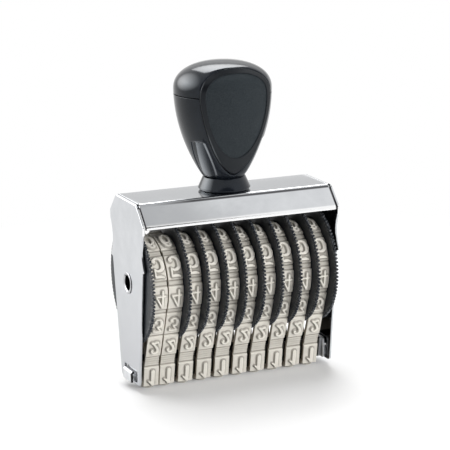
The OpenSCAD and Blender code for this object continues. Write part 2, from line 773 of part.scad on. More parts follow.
frame_housing();
axle_tube();
anvil();
thrust_washer();
spring_washer();
handle_collar();
handle_body();
handle_cap();
front_plate();
rear_plate();
handle_screw();
screw_washer();
handle_insert();
wheel(1);  // wheel_1
wheel(2);  // wheel_2
wheel(3);  // wheel_3
wheel(4);  // wheel_4
wheel(5);  // wheel_5
wheel(6);  // wheel_6
wheel(7);  // wheel_7
wheel(8);  // wheel_8
wheel(9);  // wheel_9
wheel(10);  // wheel_10
band(1);  // band_1
band(2);  // band_2
band(3);  // band_3
band(4);  // band_4
band(5);  // band_5
band(6);  // band_6
band(7);  // band_7
band(8);  // band_8
band(9);  // band_9
band(10);  // band_10
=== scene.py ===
# %% [markdown]
# # A ten-band numbering stamp
# A numbering stamp prints figures from rubber bands. Ten bands lie side by side, each on its own
# thumbwheel, and all of them pass under one steel anvil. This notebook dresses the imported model: every
# visible piece becomes a finished surface in the same place, so the motion of the wheels still fits.
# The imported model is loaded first, because each size below is read from it or named beside it.

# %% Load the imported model
import math
import bmesh
import bpy
import numpy as np
from mathutils import Matrix, Vector


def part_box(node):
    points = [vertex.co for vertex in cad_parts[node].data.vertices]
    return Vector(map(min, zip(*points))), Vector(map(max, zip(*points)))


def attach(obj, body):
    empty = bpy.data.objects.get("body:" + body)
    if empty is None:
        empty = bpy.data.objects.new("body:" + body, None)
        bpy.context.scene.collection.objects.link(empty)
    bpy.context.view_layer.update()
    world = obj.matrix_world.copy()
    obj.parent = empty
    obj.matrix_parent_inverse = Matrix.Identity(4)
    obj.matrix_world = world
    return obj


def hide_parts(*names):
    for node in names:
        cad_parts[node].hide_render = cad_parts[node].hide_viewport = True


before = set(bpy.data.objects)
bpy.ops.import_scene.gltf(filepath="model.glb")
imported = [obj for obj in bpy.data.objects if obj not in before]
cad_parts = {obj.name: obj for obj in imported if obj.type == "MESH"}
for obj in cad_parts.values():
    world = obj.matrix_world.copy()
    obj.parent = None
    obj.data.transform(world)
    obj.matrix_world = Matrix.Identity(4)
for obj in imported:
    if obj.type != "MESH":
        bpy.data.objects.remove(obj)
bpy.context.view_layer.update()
MM = 0.001


# %% [markdown]
# ## Sizes
# All shapes below are worked out in millimetres and turned into metres when a mesh is written. The
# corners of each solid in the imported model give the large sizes. What a box can't tell, such as a bend
# radius, is a named value.

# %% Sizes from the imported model
def corners(node):
    """Lowest and highest corner of a solid, in millimetres."""
    low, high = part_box(node)
    return np.array(low) / MM, np.array(high) / MM


frame_low, frame_high = corners("frame_housing")
wheel_low, wheel_high = corners("wheel_2")
band_low, band_high = corners("band_2")
_, body_high = corners("handle_body")
_, cap_high = corners("handle_cap")
_, collar_high = corners("handle_collar")
X_OUT = frame_high[0]
Z_FOOT, Z_TOP = frame_low[2], frame_high[2]
FLAP_Y = frame_high[1]
RIM_R = wheel_high[1]
Z_AXLE = (wheel_low[2] + wheel_high[2]) / 2
SHEET = 1.0
X_IN = X_OUT - SHEET
SLIT = 0.4
LUG_Y = (-4.6, 5.2)
BEND_R = 1.2
EDGE_R = 0.22
print("frame: %.1f mm long, %.1f mm high, axle at %.2f mm" % (2 * X_OUT, Z_TOP - Z_FOOT, Z_AXLE))


# %% [markdown]
# ## Grids of points
# Nearly every piece is a grid: rows of points, each row joined to the next. A grid may close on itself
# along its rows or its columns, and its open ends get a cap. Faces are written as whole arrays, and the
# signed volume tells whether the surface faces outwards.

# %% Mesh helpers
def grid_faces(rows, cols, close_rows=False, close_cols=False):
    """Four-sided faces between the points of a grid that is numbered row by row."""
    r = np.arange(rows if close_rows else rows - 1)[:, None]
    c = np.arange(cols if close_cols else cols - 1)[None, :]
    r2, c2 = (r + 1) % rows, (c + 1) % cols
    quads = np.stack([r * cols + c, r * cols + c2, r2 * cols + c2, r2 * cols + c], -1)
    return quads.reshape(-1, 4)


def signed_volume(points, faces):
    """Sum of the corner products of each face's fan of triangles: positive if the faces look outwards."""
    total = 0.0
    for f in faces:
        for k in range(1, f.shape[1] - 1):
            a, b, c = points[f[:, 0]], points[f[:, k]], points[f[:, k + 1]]
            total += np.einsum("ij,ij->i", a, np.cross(b, c)).sum() / 6
    return total


def show(thing):
    """Puts an object into the scene."""
    bpy.context.scene.collection.objects.link(thing)
    return thing


def write_mesh(name, points, faces, attributes=None):
    """A mesh object from points in millimetres and a list of face arrays."""
    points = np.asarray(points, float)
    if signed_volume(points, faces) < 0:
        faces = [f[:, ::-1] for f in faces]
    loops = np.concatenate([f.ravel() for f in faces]).astype(np.int32)
    sizes = np.concatenate([np.full(len(f), f.shape[1]) for f in faces])
    starts = (np.cumsum(sizes) - sizes).astype(np.int32)
    mesh = bpy.data.meshes.new(name)
    mesh.vertices.add(len(points))
    mesh.vertices.foreach_set("co", (points * MM).astype(np.float32).ravel())
    mesh.loops.add(len(loops))
    mesh.loops.foreach_set("vertex_index", loops)
    mesh.polygons.add(len(sizes))
    mesh.polygons.foreach_set("loop_start", starts)
    mesh.polygons.foreach_set("use_smooth", np.ones(len(sizes), bool))
    for key, values in (attributes or {}).items():
        layer = mesh.attributes.new(key, "FLOAT", "POINT")
        layer.data.foreach_set("value", np.asarray(values, np.float32).ravel())
    mesh.update(calc_edges=True)
    mesh.validate()
    return show(bpy.data.objects.new(name, mesh))


# %% Lofts, arcs and steps
def loft(sections, pointed=False):
    """Closed loops, one after the other, as one surface. Its two ends are closed by flat faces, or, where
    they are crowned, by a fan of triangles round the middle of the loop."""
    n, m = sections.shape[:2]
    here, there = np.arange(m), (np.arange(m) + 1) % m
    if not pointed:
        ends = [here[None, ::-1], (n - 1) * m + here[None, :]]
        return sections.reshape(-1, 3), [grid_faces(n, m, False, True)] + ends
    first = np.stack([there, here, np.full(m, n * m)], -1)
    last = np.stack([(n - 1) * m + here, (n - 1) * m + there, np.full(m, n * m + 1)], -1)
    middles = sections[[0, -1]].mean(1)
    return np.concatenate([sections.reshape(-1, 3), middles]), [grid_faces(n, m, False, True), first, last]


def join(parts):
    """Several (points, faces) pairs as one, with the faces renumbered and turned outwards."""
    points, faces, offset = [], [], 0
    for p, fs in parts:
        if signed_volume(p, fs) < 0:
            fs = [f[:, ::-1] for f in fs]
        points.append(p)
        faces += [f + offset for f in fs]
        offset += len(p)
    return np.concatenate(points), faces


def arc(centre, radius, start, end, steps):
    """Points on a circle between two angles in degrees."""
    a = np.radians(np.linspace(start, end, steps))
    return np.asarray(centre) + radius * np.stack([np.cos(a), np.sin(a)], -1)


def smoothstep(low, high, value):
    """0 below low, 1 above high, and an S-shaped rise between."""
    t = np.clip((value - low) / (high - low), 0, 1)
    return t * t * (3 - 2 * t)


def finish_piece(piece, body, material, nodes, sharp=None):
    """Gives a piece its finish and its body, and hides the solids that it stands for."""
    piece.data.materials.append(material)
    if sharp is not None:
        piece.data.set_sharp_from_angle(angle=math.radians(sharp))
    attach(piece, body)
    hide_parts(*nodes)
    print(piece.name, "faces:", len(piece.data.polygons))


# %% [markdown]
# ## Camera
# The stamp is seen from the left, a little from above, through a long lens. The camera's place is given
# by the turn and rise of its line of sight and its distance from a point inside the stamp.

# %% Camera
VIEW_TURN = math.radians(-22.835)
VIEW_RISE = math.radians(13.201)
VIEW_ROLL = math.radians(-1.02)
VIEW_DISTANCE = 845.0
VIEW_AIM = Vector((2.11, 4.89, 65.68))
LENS = 155.48

back = Vector((math.sin(VIEW_TURN) * math.cos(VIEW_RISE), -math.cos(VIEW_TURN) * math.cos(VIEW_RISE),
               math.sin(VIEW_RISE)))
right = Vector((0, 0, 1)).cross(back).normalized()
up = back.cross(right)
camera_data = bpy.data.cameras.new("camera")
camera_data.lens = LENS
camera_data.sensor_width = 36.0
camera_data.clip_start = 0.01
camera_data.clip_end = 50.0
camera = show(bpy.data.objects.new("camera", camera_data))
rolled_right = math.cos(VIEW_ROLL) * right + math.sin(VIEW_ROLL) * up
rolled_up = -math.sin(VIEW_ROLL) * right + math.cos(VIEW_ROLL) * up
turn = Matrix((rolled_right, rolled_up, back)).transposed().to_4x4()
camera.matrix_world = Matrix.Translation((VIEW_AIM + VIEW_DISTANCE * back) * MM) @ turn
bpy.context.scene.camera = camera
bpy.context.scene.view_settings.view_transform = "Standard"
print("camera at", [round(v, 3) for v in camera.location])


# %% [markdown]
# ## Finishes
# Each finish is a small graph of nodes on Object coordinates, so the pattern stays on the piece when it
# moves. Short helpers keep the graphs readable: one adds a node with its settings, one adds a soft noise
# of a given grain, one maps a value to another range, and one links the results to the shader.

# %% Material helpers
def add(tree, kind, inputs=None, **settings):
    """A node with its settings and inputs: an input is linked if it is a socket, or else set as a value."""
    node = tree.nodes.new(kind)
    for key, value in settings.items():
        setattr(node, key, value)
    for key, value in (inputs or {}).items():
        if isinstance(value, bpy.types.NodeSocket):
            tree.links.new(value, node.inputs[key])
        else:
            node.inputs[key].default_value = value
    return node


def noise(tree, coordinates, grain_mm, detail=3.0, rough=0.55):
    """Noise whose grains are about grain_mm across."""
    place = add(tree, "ShaderNodeMapping", {"Vector": coordinates, "Scale": [1 / (grain_mm * MM)] * 3})
    grain = {"Vector": place.outputs[0], "Scale": 1.0, "Detail": detail, "Roughness": rough}
    return add(tree, "ShaderNodeTexNoise", grain).outputs["Fac"]


def ramp(tree, value, low, high, out_low=0, out_high=1):
    """Maps value from low..high to out_low..out_high and stops at both ends."""
    return add(tree, "ShaderNodeMapRange", {0: value, 1: low, 2: high, 3: out_low, 4: out_high}).outputs[0]


def ramp_mm(tree, length, low, high, out_low=0, out_high=1):
    """The same for a length, with low and high in millimetres."""
    return ramp(tree, length, low * MM, high * MM, out_low, out_high)


def combine(tree, operation, first, second):
    """What a Math node makes of two sockets."""
    return add(tree, "ShaderNodeMath", {0: first, 1: second}, operation=operation).outputs[0]


def product(tree, first, second):
    """The product of two masks, which is 1 where both are."""
    return combine(tree, "MULTIPLY", first, second)


def mix_colors(tree, factor, first, second):
    """A colour between first and second, each of them a colour or a socket."""
    first, second = (c if isinstance(c, bpy.types.NodeSocket) else (*c, 1) for c in (first, second))
    blend = add(tree, "ShaderNodeMix", {"Factor": factor, 6: first, 7: second}, data_type="RGBA")
    return blend.outputs[2]


def start_material(name, **constants):
    """A new material with a Principled shader whose constant values are set on its own sockets."""
    material = bpy.data.materials.new(name)
    material.use_nodes = True
    tree = material.node_tree
    shader = tree.nodes["Principled BSDF"]
    for key, value in constants.items():
        shader.inputs[key.replace("_", " ")].default_value = value
    coordinates = add(tree, "ShaderNodeTexCoord").outputs["Object"]
    return material, tree, shader, coordinates


def link_finish(tree, shader, tint, rough, height, strength, depth_mm):
    """Gives a shader its colour and roughness, and tilts its shading by a height map depth_mm deep."""
    bump = add(tree, "ShaderNodeBump", {"Strength": strength, "Distance": depth_mm * MM, "Height": height})
    for key, socket in (("Base Color", tint), ("Roughness", rough), ("Normal", bump.outputs[0])):
        tree.links.new(socket, shader.inputs[key])


def zoned(tree, where, tint, zones):
    """The tint with each zone's colour laid over it, where the zone's mask says so."""
    for mask, zone_color in zones:
        tint = mix_colors(tree, mask(tree, where), tint, zone_color)
    return tint


def attribute(tree, name):
    """The value of a float attribute of the mesh."""
    return add(tree, "ShaderNodeAttribute", attribute_name=name).outputs["Fac"]


# %% [markdown]
# ## Chrome plate
# The frame is cold-rolled sheet with a bright plate. Plate over rolled sheet keeps a faint grain from the
# rolls and slight clouds in its gloss, so the roughness and the tint both wander a little. Zones of another
# tone are painted light and shade: a painted highlight on the lips and cheek edges, painted shade that
# darkens the cheeks downwards, painted shade on the cheeks' inner faces, on the flaps' ends beside the slits
# and on the lugs' cut ends, a painted dark reflection below the top folds, and painted shade on the anvil
# and in the bore. One material with masks does this, where separate ones would show hard borders. A mask is
# a value between 0 and 1 that is worked out from the Object coordinates. It is 1 in its zone.

# %% Masks for the metal
CHEEK_SHADE_Z = (12, 74)
FOLD_FADE = (-38, -20)


def place_along(tree, where, axis):
    """One of the Object coordinates, with its sign, or as a distance from the middle plane if the axis
    is written between bars."""
    place = add(tree, "ShaderNodeSeparateXYZ", {0: where}).outputs[axis.strip("|")]
    if axis.startswith("|"):
        place = add(tree, "ShaderNodeMath", {0: place}, operation="ABSOLUTE").outputs[0]
    return place


def mask_of(*factors):
    """A mask that is the product of ramps. Each is (axis, low, high, value at low, value at high), with
    low and high in millimetres."""
    def mask(tree, where):
        ramps = [ramp_mm(tree, place_along(tree, where, axis), *limits) for axis, *limits in factors]
        result = ramps[0]
        for other in ramps[1:]:
            result = product(tree, result, other)
        return result
    return mask


# Painted highlight: the folded lips and the cheeks' front and rear edges are painted bright.
lip_painted_highlight = mask_of(("|Y|", FLAP_Y - 0.8, FLAP_Y - 0.3, 0, 1))
# Painted shade: the inner faces of the cheeks are painted nearly black, for the dark inside that they
# mirror.
inner_face_painted_shade = mask_of(("|X|", X_IN - 0.3, X_IN - 0.1, 0, 0.8), ("|X|", X_IN + 0.05, X_IN + 0.3, 1, 0))
# Painted shade: the flaps' ends beside the slits are painted dark, for the shade in the slits.
slit_end_painted_shade = mask_of(("|X|", X_IN - SLIT - 0.5, X_IN - SLIT - 0.25, 0, 1),
                  ("|X|", X_IN + 0.05, X_IN + 0.2, 1, 0), ("Z", Z_TOP - 1.6, Z_TOP - 0.9, 1, 0))
# A painted dark reflection: a thin dark line below the folds between top and flaps. The line fades towards
# the left-hand end.
fold_painted_reflection = mask_of(("Z", Z_TOP - 1.4, Z_TOP - 1.1, 0, 1), ("Z", Z_TOP - 0.6, Z_TOP - 0.35, 1, 0),
                    ("|X|", X_IN - 0.9, X_IN - 0.7, 1, 0), ("X", *FOLD_FADE, 0.1, 0.95))
# Painted shade: the outer faces of the cheeks are painted darker more and more downwards.
cheek_painted_shade = mask_of(("|X|", X_OUT - 0.3, X_OUT - 0.1, 0, 1), ("Z", *CHEEK_SHADE_Z, 1, 0))
# Painted shade: the anvil's face between its ears is painted nearly black.
anvil_painted_shade = mask_of(("|X|", X_IN - 2.3, X_IN - 1.7, 1, 0))
# Painted shade: the cut ends of the lugs, outside the cheeks, at the front and at the rear, are painted
# dark.
lug_end_painted_shade = [mask_of(("Y", *limits), ("|X|", X_OUT - 0.1, X_OUT + 0.1, 0, 1)) for limits in (
    (LUG_Y[0] + 0.15, LUG_Y[0] + 0.5, 1, 0), (LUG_Y[1] - 0.5, LUG_Y[1] - 0.15, 0, 1))]


def bore_painted_shade(tree, _):
    """1 inside the axle tube, where the bore gets painted shade: an attribute of the mesh tells it."""
    return attribute(tree, "bore")


# Printed below: the reach of the cheeks' painted shade and of the painted dark reflection along the folds.
print("cheeks dulled from %d to %d mm up, folds worn from %d to %d mm along" % (CHEEK_SHADE_Z + FOLD_FADE))


# %% Metal finishes
def plated(name, color, dark, gloss, zones=()):
    """A plated metal: base colour, its darker cloud, the two ends of the roughness, a rolled grain, and
    zones of other colours, each a mask with its colour."""
    material, tree, shader, where = start_material(name, Metallic=1.0)
    clouds = noise(tree, where, 9.0, detail=4)
    grain = noise(tree, where, 0.35, detail=2)
    tint = mix_colors(tree, ramp(tree, clouds, 0.35, 0.7), dark, color)
    rough = ramp(tree, clouds, 0.3, 0.7, gloss[1], gloss[0])
    link_finish(tree, shader, zoned(tree, where, tint, zones), rough, grain, 0.25, 0.02)
    print("metal:", name)
    return material


# The zones of the frame, the anvil and the axle below are painted highlight, painted shade and a painted
# dark reflection.
chrome = plated("frame_chrome", (0.68, 0.695, 0.715), (0.62, 0.635, 0.655), (0.09, 0.15),
                [(cheek_painted_shade, (0.48, 0.49, 0.51)), (lip_painted_highlight, (0.95, 0.955, 0.96)),
                 (inner_face_painted_shade, (0.10, 0.10, 0.105)), (slit_end_painted_shade, (0.05, 0.05, 0.055)),
                 (fold_painted_reflection, (0.07, 0.07, 0.075))])
bright_plate = plated("anvil_plate", (0.68, 0.69, 0.70), (0.58, 0.59, 0.61), (0.26, 0.36),
                      [(anvil_painted_shade, (0.05, 0.048, 0.043))] + [(end, (0.04, 0.04, 0.042)) for end in lug_end_painted_shade])
axle_steel = plated("axle_steel", (0.52, 0.53, 0.54), (0.40, 0.40, 0.41), (0.30, 0.44),
                    [(bore_painted_shade, (0.02, 0.02, 0.021))])
washer_steel = plated("washer_steel", (0.55, 0.56, 0.58), (0.40, 0.41, 0.43), (0.28, 0.42))
screw_steel = plated("screw_steel", (0.68, 0.69, 0.70), (0.55, 0.55, 0.55), (0.25, 0.38))
brass = plated("insert_brass", (0.78, 0.60, 0.28), (0.60, 0.44, 0.18), (0.25, 0.4))


# %% [markdown]
# ## Black plastics
# The wheels are moulded with a satin skin, the handle with a glossy one, and the oval plates with a fine
# matt texture inside a smoother border. Handling makes the gloss uneven, and pale specks painted in the
# outer ring of the wheels' flanges are painted glints on the beads. A Specular Tint makes the handle's
# highlights a little cooler.

# %% Plastic finishes
PLAIN = (1, 1, 1, 1)
COOL = (0.87, 0.94, 1.0, 1)


def bead_painted_glints(tree, where):
    """Pale specks painted in the outer ring of a wheel's flange, as painted glints on the beads."""
    flat = {"Vector": where, "Location": (0, 0, -Z_AXLE * MM), "Scale": (0, 1, 1)}
    from_axle = add(tree, "ShaderNodeMapping", flat).outputs[0]
    radius = add(tree, "ShaderNodeVectorMath", {0: from_axle}, operation="LENGTH")
    return product(tree, ramp_mm(tree, radius.outputs["Value"], RIM_R - 3.4, RIM_R - 1.4, 0.15),
                   ramp(tree, noise(tree, where, 0.5, detail=2), 0.53, 0.62))


def moulded(name, color, worn, gloss, grain_mm, bump, depth_mm, ior, sheen, zones=()):
    """A moulded plastic: base colour, its paler wear, the two ends of the roughness, the skin's grain, and
    zones of other colours, each a mask with its colour."""
    material, tree, shader, where = start_material(name, IOR=ior, Specular_Tint=sheen)
    patches = noise(tree, where, 6.0, detail=5, rough=0.6)
    skin = noise(tree, where, grain_mm, detail=2)
    tint = mix_colors(tree, ramp(tree, patches, 0.4, 0.75), color, worn)
    rough = ramp(tree, patches, 0.3, 0.7, gloss[0], gloss[1])
    link_finish(tree, shader, zoned(tree, where, tint, zones), rough, skin, bump, depth_mm)
    print("plastic:", name)
    return material


# The pale specks in the flanges' outer ring are painted glints on the beads.
wheel_black = moulded("wheel_black", (0.009, 0.012, 0.017), (0.018, 0.022, 0.028), (0.38, 0.50),
                      0.25, 0.3, 0.02, 1.36, PLAIN, [(bead_painted_glints, (0.15, 0.155, 0.16))])
handle_black = moulded("handle_gloss", (0.0045, 0.0058, 0.0085), (0.0068, 0.0085, 0.0125), (0.10, 0.15),
                       0.3, 0.10, 0.006, 1.38, COOL)


# %% Finish of the oval plates
def plate_finish():
    """A semi-gloss border and a matt field, whose fine texture is etched into the mould. The attribute
    field tells them apart."""
    material, tree, shader, where = start_material("plate_matte", IOR=1.36, Specular_Tint=COOL)
    field = attribute(tree, "field")
    patches = noise(tree, where, 6.0, detail=5, rough=0.6)
    texture = noise(tree, where, 0.42, detail=2)
    matt = mix_colors(tree, ramp(tree, texture, 0.35, 0.7), (0.010, 0.0135, 0.016), (0.021, 0.025, 0.028))
    border, inside = ramp(tree, patches, 0.3, 0.7, 0.27, 0.34), ramp(tree, patches, 0.3, 0.7, 0.58, 0.68)
    rough = add(tree, "ShaderNodeMix", {"Factor": field, 2: border, 3: inside}, data_type="FLOAT")
    tint = mix_colors(tree, field, (0.0048, 0.0056, 0.007), matt)
    link_finish(tree, shader, tint, rough.outputs[0], texture, 0.4, 0.03)
    print("plastic:", material.name)
    return material


plate_black = plate_finish()


# %% [markdown]
# ## Rubber
# The bands are pale moulded rubber. The raised edges of the figures and pads get a painted highlight in a
# creamier colour, the grooves and the walls and feet of the strokes get painted shade, and the flanks get
# painted shade with a browner tint. Three attributes that are computed with the shape tell the material
# where it is: edge, hollow and flank.

# %% Rubber finish
# Zones of the rubber: a painted highlight on edges, painted shade in hollows, and browner painted shade on
# the flanks.
RUBBER_ZONES = (("edge", 0.6, (0.80, 0.77, 0.70)), ("hollow", 0.75, (0.17, 0.158, 0.135)),
                ("flank", 0.7, (0.27, 0.22, 0.15)))


def rubber_finish():
    """Warm grey rubber with a painted highlight on its edges, painted shade in its hollows and browner
    painted shade on its flanks.
    """
    material, tree, shader, where = start_material("band_rubber", IOR=1.45)
    patches = noise(tree, where, 5.0, detail=4)
    specks = noise(tree, where, 0.4, detail=3, rough=0.7)
    tint = mix_colors(tree, ramp(tree, patches, 0.3, 0.7), (0.52, 0.495, 0.445), (0.60, 0.575, 0.52))
    tint = mix_colors(tree, ramp(tree, specks, 0.55, 0.8, 0, 0.4), tint, (0.36, 0.34, 0.295))
    for key, share, color in RUBBER_ZONES:
        tint = mix_colors(tree, ramp(tree, attribute(tree, key), 0, 1, 0, share), tint, color)
    link_finish(tree, shader, tint, ramp(tree, patches, 0.3, 0.7, 0.52, 0.7), specks, 0.35, 0.03)
    print("rubber:", material.name)
    return material


band_rubber = rubber_finish()


# %% [markdown]
# ## Bent sheet
# A folded sheet is a strip that follows a path: its outer face, its inner face and the rounded edges
# between them make one closed loop, and the loop travels along the path. At both ends the loop shrinks
# by the edge radius, so that the cut ends are rounded as well.

# %% Bent sheet helper
STRIP_SHARES = np.concatenate([[0, 0.02], np.linspace(0.08, 0.92, 9), [0.98, 1]])
CORNER_STEPS = 4


def round_box(low, high, radius):
    """Loop (across, depth) of a flat strip with rounded edges: low, high and radius are one per station.
    A corner is a quarter circle: at angle a it is (core + radius sin a, depth - radius cos a)."""
    core_low, core_high = low + EDGE_R, high - EDGE_R
    columns = []

    def face(shares, depth):
        for f in shares:
            columns.append((core_low + f * (core_high - core_low), depth))

    def corner(start, kept, core, depth):
        for a in np.linspace(start, start + 90, CORNER_STEPS)[kept]:
            s, c = math.sin(math.radians(a)), math.cos(math.radians(a))
            columns.append((core + radius * s, depth - radius * c))

    face(STRIP_SHARES, EDGE_R - radius)
    corner(0, slice(1, None), core_high, EDGE_R)
    corner(90, slice(-1), core_high, SHEET - EDGE_R)
    face(STRIP_SHARES[::-1], SHEET - EDGE_R + radius)
    corner(180, slice(1, None), core_low, SHEET - EDGE_R)
    corner(270, slice(-1), core_low, EDGE_R)
    return np.stack([np.stack([a + 0 * radius, d + 0 * radius], -1) for a, d in columns], 1)


def bent_sheet(path, normal, side, low, high):
    """A strip of sheet. path (n,3) is the line on its outer face, normal (n,3) points outwards, side is
    the direction across it, and low and high (n,) are its two edges measured along side."""
    travel = np.concatenate([[0], np.cumsum(np.linalg.norm(np.diff(path, axis=0), axis=1))])
    inset = EDGE_R * (1 - np.cos(np.radians(np.array([8, 30, 60, 90]))))
    inner = (travel > EDGE_R * 1.2) & (travel < travel[-1] - EDGE_R * 1.2)
    stations = np.unique(np.concatenate([inset, travel[-1] - inset, travel[inner]]).round(6))

    def along(values):
        values = np.asarray(values, float)
        if values.ndim == 1:
            return np.interp(stations, travel, values)
        return np.stack([np.interp(stations, travel, v) for v in values.T], -1)

    from_end = np.minimum(stations, travel[-1] - stations)
    radius = EDGE_R * np.sqrt(np.clip(1 - (1 - np.clip(from_end / EDGE_R, 0, 1)) ** 2, 0, 1))
    loop = round_box(along(low), along(high), radius)
    outward = along(normal)
    outward /= np.linalg.norm(outward, axis=1, keepdims=True)
    points = (along(path)[:, None, :] + loop[..., :1] * np.asarray(side, float)
              - loop[..., 1:] * outward[:, None, :])
    return loft(points)


def in_yz(points):
    """Points (y, z) as (0, y, z)."""
    return np.insert(points, 0, 0, axis=1)


def in_xz(points, sign):
    """Points (x, z) as (sign * x, 0, z)."""
    return np.stack([sign * points[:, 0], np.zeros(len(points)), points[:, 1]], -1)


# %% Path with rounded corners
def polyline(corner_points, radii, steps=9):
    """A path through corners that are rounded to the given radii, with the normal on its left at each
    point. A corner's arc starts at radius * tan(half the turn) before the corner."""
    corner_points = np.asarray(corner_points, float)
    runs = np.diff(corner_points, axis=0)
    runs /= np.linalg.norm(runs, axis=1, keepdims=True)
    left = np.stack([-runs[:, 1], runs[:, 0]], -1)
    path, normal = [corner_points[0]], [left[0]]
    for p, d1, d2, n1, radius in zip(corner_points[1:], runs, runs[1:], left, radii[1:]):
        half = math.acos(np.clip(d1 @ d2, -1, 1)) / 2
        turn_sign = np.sign(d1[0] * d2[1] - d1[1] * d2[0])
        centre = p - d1 * (radius * math.tan(half)) + n1 * turn_sign * radius
        start = math.atan2(-n1[1] * turn_sign, -n1[0] * turn_sign)
        for t in np.linspace(0, 2 * half * turn_sign, steps):
            away = np.array([math.cos(start + t), math.sin(start + t)])
            path.append(centre + radius * away)
            normal.append(-away * turn_sign)
    return np.array(path + [corner_points[-1]]), np.array(normal + [left[-1]])


# %% [markdown]
# ## Frame
# The real frame is one sheet: two cheeks folded down from a flat top, and a sloping flap with an
# upright lip folded down at the front and at the rear. A box with holes would lose the folds, so the
# frame is three bent strips, with the slots, the axle holes and the relief holes cut by Boolean.

# %% Cheek outline
TOP_HALF = 11.9
Z_FLAP = 73.3
Z_LIP = 74.6
NOTCH_TOP = 71.7
LEDGE_Z = 55.2
LEDGE_HALF = 20.0
NOTCH_IN = 2.4
STEP_HALF, STEP_Z = 17.9, 54.3
FOOT_HALF = 10.8
FOOT_R = 1.8


def cheek_half_width(z):
    """Half width of a cheek at each height: rounded foot, straight flank, ledge, thumb notch, flap end."""
    notch_z = np.linspace(LEDGE_Z, NOTCH_TOP, 15)
    middle, reach = (NOTCH_TOP + LEDGE_Z) / 2, (NOTCH_TOP - LEDGE_Z) / 2
    notch = LEDGE_HALF - NOTCH_IN * (1 - ((notch_z - middle) / reach) ** 2)
    lean = math.atan2(STEP_HALF - FOOT_HALF, STEP_Z - Z_FOOT)
    foot = arc((FOOT_HALF - FOOT_R / math.tan((math.pi / 2 + lean) / 2), Z_FOOT + FOOT_R), FOOT_R,
               -90, -math.degrees(lean), 7)
    shoulder, _ = polyline([(LEDGE_HALF, NOTCH_TOP), (FLAP_Y, Z_FLAP), (FLAP_Y, Z_LIP), (TOP_HALF, Z_TOP),
                            (0, Z_TOP)], [0, 0.5, 0.6, 0.8, 0], 5)
    y = np.concatenate([foot[:, 0], [STEP_HALF], notch, shoulder[1:-1, 0]])
    height = np.concatenate([foot[:, 1], [STEP_Z], notch_z, shoulder[1:-1, 1]])
    order = np.argsort(height, kind="stable")
    return np.interp(z, height[order], y[order]), height[order]


# %% Frame mesh
CHEEK_ROWS = 34
BEND_STEPS = 10

_, outline_z = cheek_half_width(np.zeros(1))
bend_start = Z_TOP - BEND_R
cheek_z = np.unique(np.concatenate([outline_z[outline_z < bend_start - 0.05],
                                    np.linspace(Z_FOOT, bend_start, CHEEK_ROWS)]))
bend = arc((-X_OUT + BEND_R, bend_start), BEND_R, 180, 90, BEND_STEPS)
cheek_path = np.concatenate([np.stack([np.full(len(cheek_z), -X_OUT), cheek_z], -1)[:-1], bend,
                             [[-X_IN + SLIT, Z_TOP]]])
cheek_normal = np.concatenate([np.tile([-1.0, 0.0], (len(cheek_z) - 1, 1)),
                               arc((0, 0), 1, 180, 90, BEND_STEPS), [[0, 1]]])
cheek_half, _ = cheek_half_width(np.clip(cheek_path[:, 1], Z_FOOT, Z_TOP - 0.02))


def cheek_strip(sign):
    """One cheek with its bend at the top: sign -1 is the left one."""
    path, normal = in_xz(cheek_path, -sign), in_xz(cheek_normal, -sign)
    return bent_sheet(path, normal, (0, 1, 0), -cheek_half, cheek_half)


hood_corners = [(-FLAP_Y, Z_FLAP), (-FLAP_Y, Z_LIP), (-TOP_HALF, Z_TOP), (TOP_HALF, Z_TOP), (FLAP_Y, Z_LIP),
                (FLAP_Y, Z_FLAP)]
hood_path, hood_normal = polyline(hood_corners, [0] + [BEND_R] * 4 + [0])
hood_half = np.full(len(hood_path), X_IN - SLIT)
hood = bent_sheet(in_yz(hood_path), in_yz(hood_normal), (1, 0, 0), -hood_half, hood_half)
print("cheek stations:", len(cheek_path), "hood stations:", len(hood_path))


# %% [markdown]
# ## Holes in the frame
# A hole is cut with a plain cutter and the Boolean modifier. The cutters are thrown away afterwards.

# %% Holes
AXLE_HOLE_R = 4.05
SLOT_Y = (-7.6, 6.8)
SLOT_Z = (4.2, 9.6)
RELIEF_R = 0.6
SCREW_HOLE_R = 2.7


def cylinder_cutter(axis, centre, radius, length, steps=64):
    """A closed cylinder along X or Z for cutting."""
    loop, column = arc((0, 0), radius, 0, 360, steps + 1)[:-1], "x z".index(axis)
    ends = [np.insert(loop, column, h, axis=1) for h in (-length / 2, length / 2)]
    return loft(np.stack(ends) + np.asarray(centre))


def box_cutter(low, high):
    """A closed box between two corners."""
    ring = np.array([low[1:], (high[1], low[2]), high[1:], (low[1], high[2])])
    return loft(np.stack([np.insert(ring, 0, x, axis=1) for x in (low[0], high[0])]))


def cut(piece, cutters):
    """Subtracts closed shapes from a piece and keeps the result as its mesh."""
    for points, faces in cutters:
        tool = write_mesh("cutter", points, faces)
        modifier = piece.modifiers.new("cut", "BOOLEAN")
        modifier.object = tool
        modifier.operation = "DIFFERENCE"
        modifier.solver = "EXACT"
        shape = bpy.data.meshes.new_from_object(piece.evaluated_get(bpy.context.evaluated_depsgraph_get()))
        piece.modifiers.clear()
        piece.data = shape
        bpy.data.objects.remove(tool)
    return piece


def frame_cutters(sign):
    """The holes of one end: axle hole, slot and two relief holes."""
    x_cheek = sign * (X_OUT - SHEET / 2)
    holes = [cylinder_cutter("x", (x_cheek, 0, Z_AXLE), AXLE_HOLE_R, 4),
             box_cutter((x_cheek - 2, SLOT_Y[0], SLOT_Z[0]), (x_cheek + 2, SLOT_Y[1], SLOT_Z[1]))]
    reliefs = [cylinder_cutter("z", (sign * (X_IN - SLIT / 2), edge * TOP_HALF, Z_TOP), RELIEF_R, 5, 24)
               for edge in (-1, 1)]
    return holes, reliefs


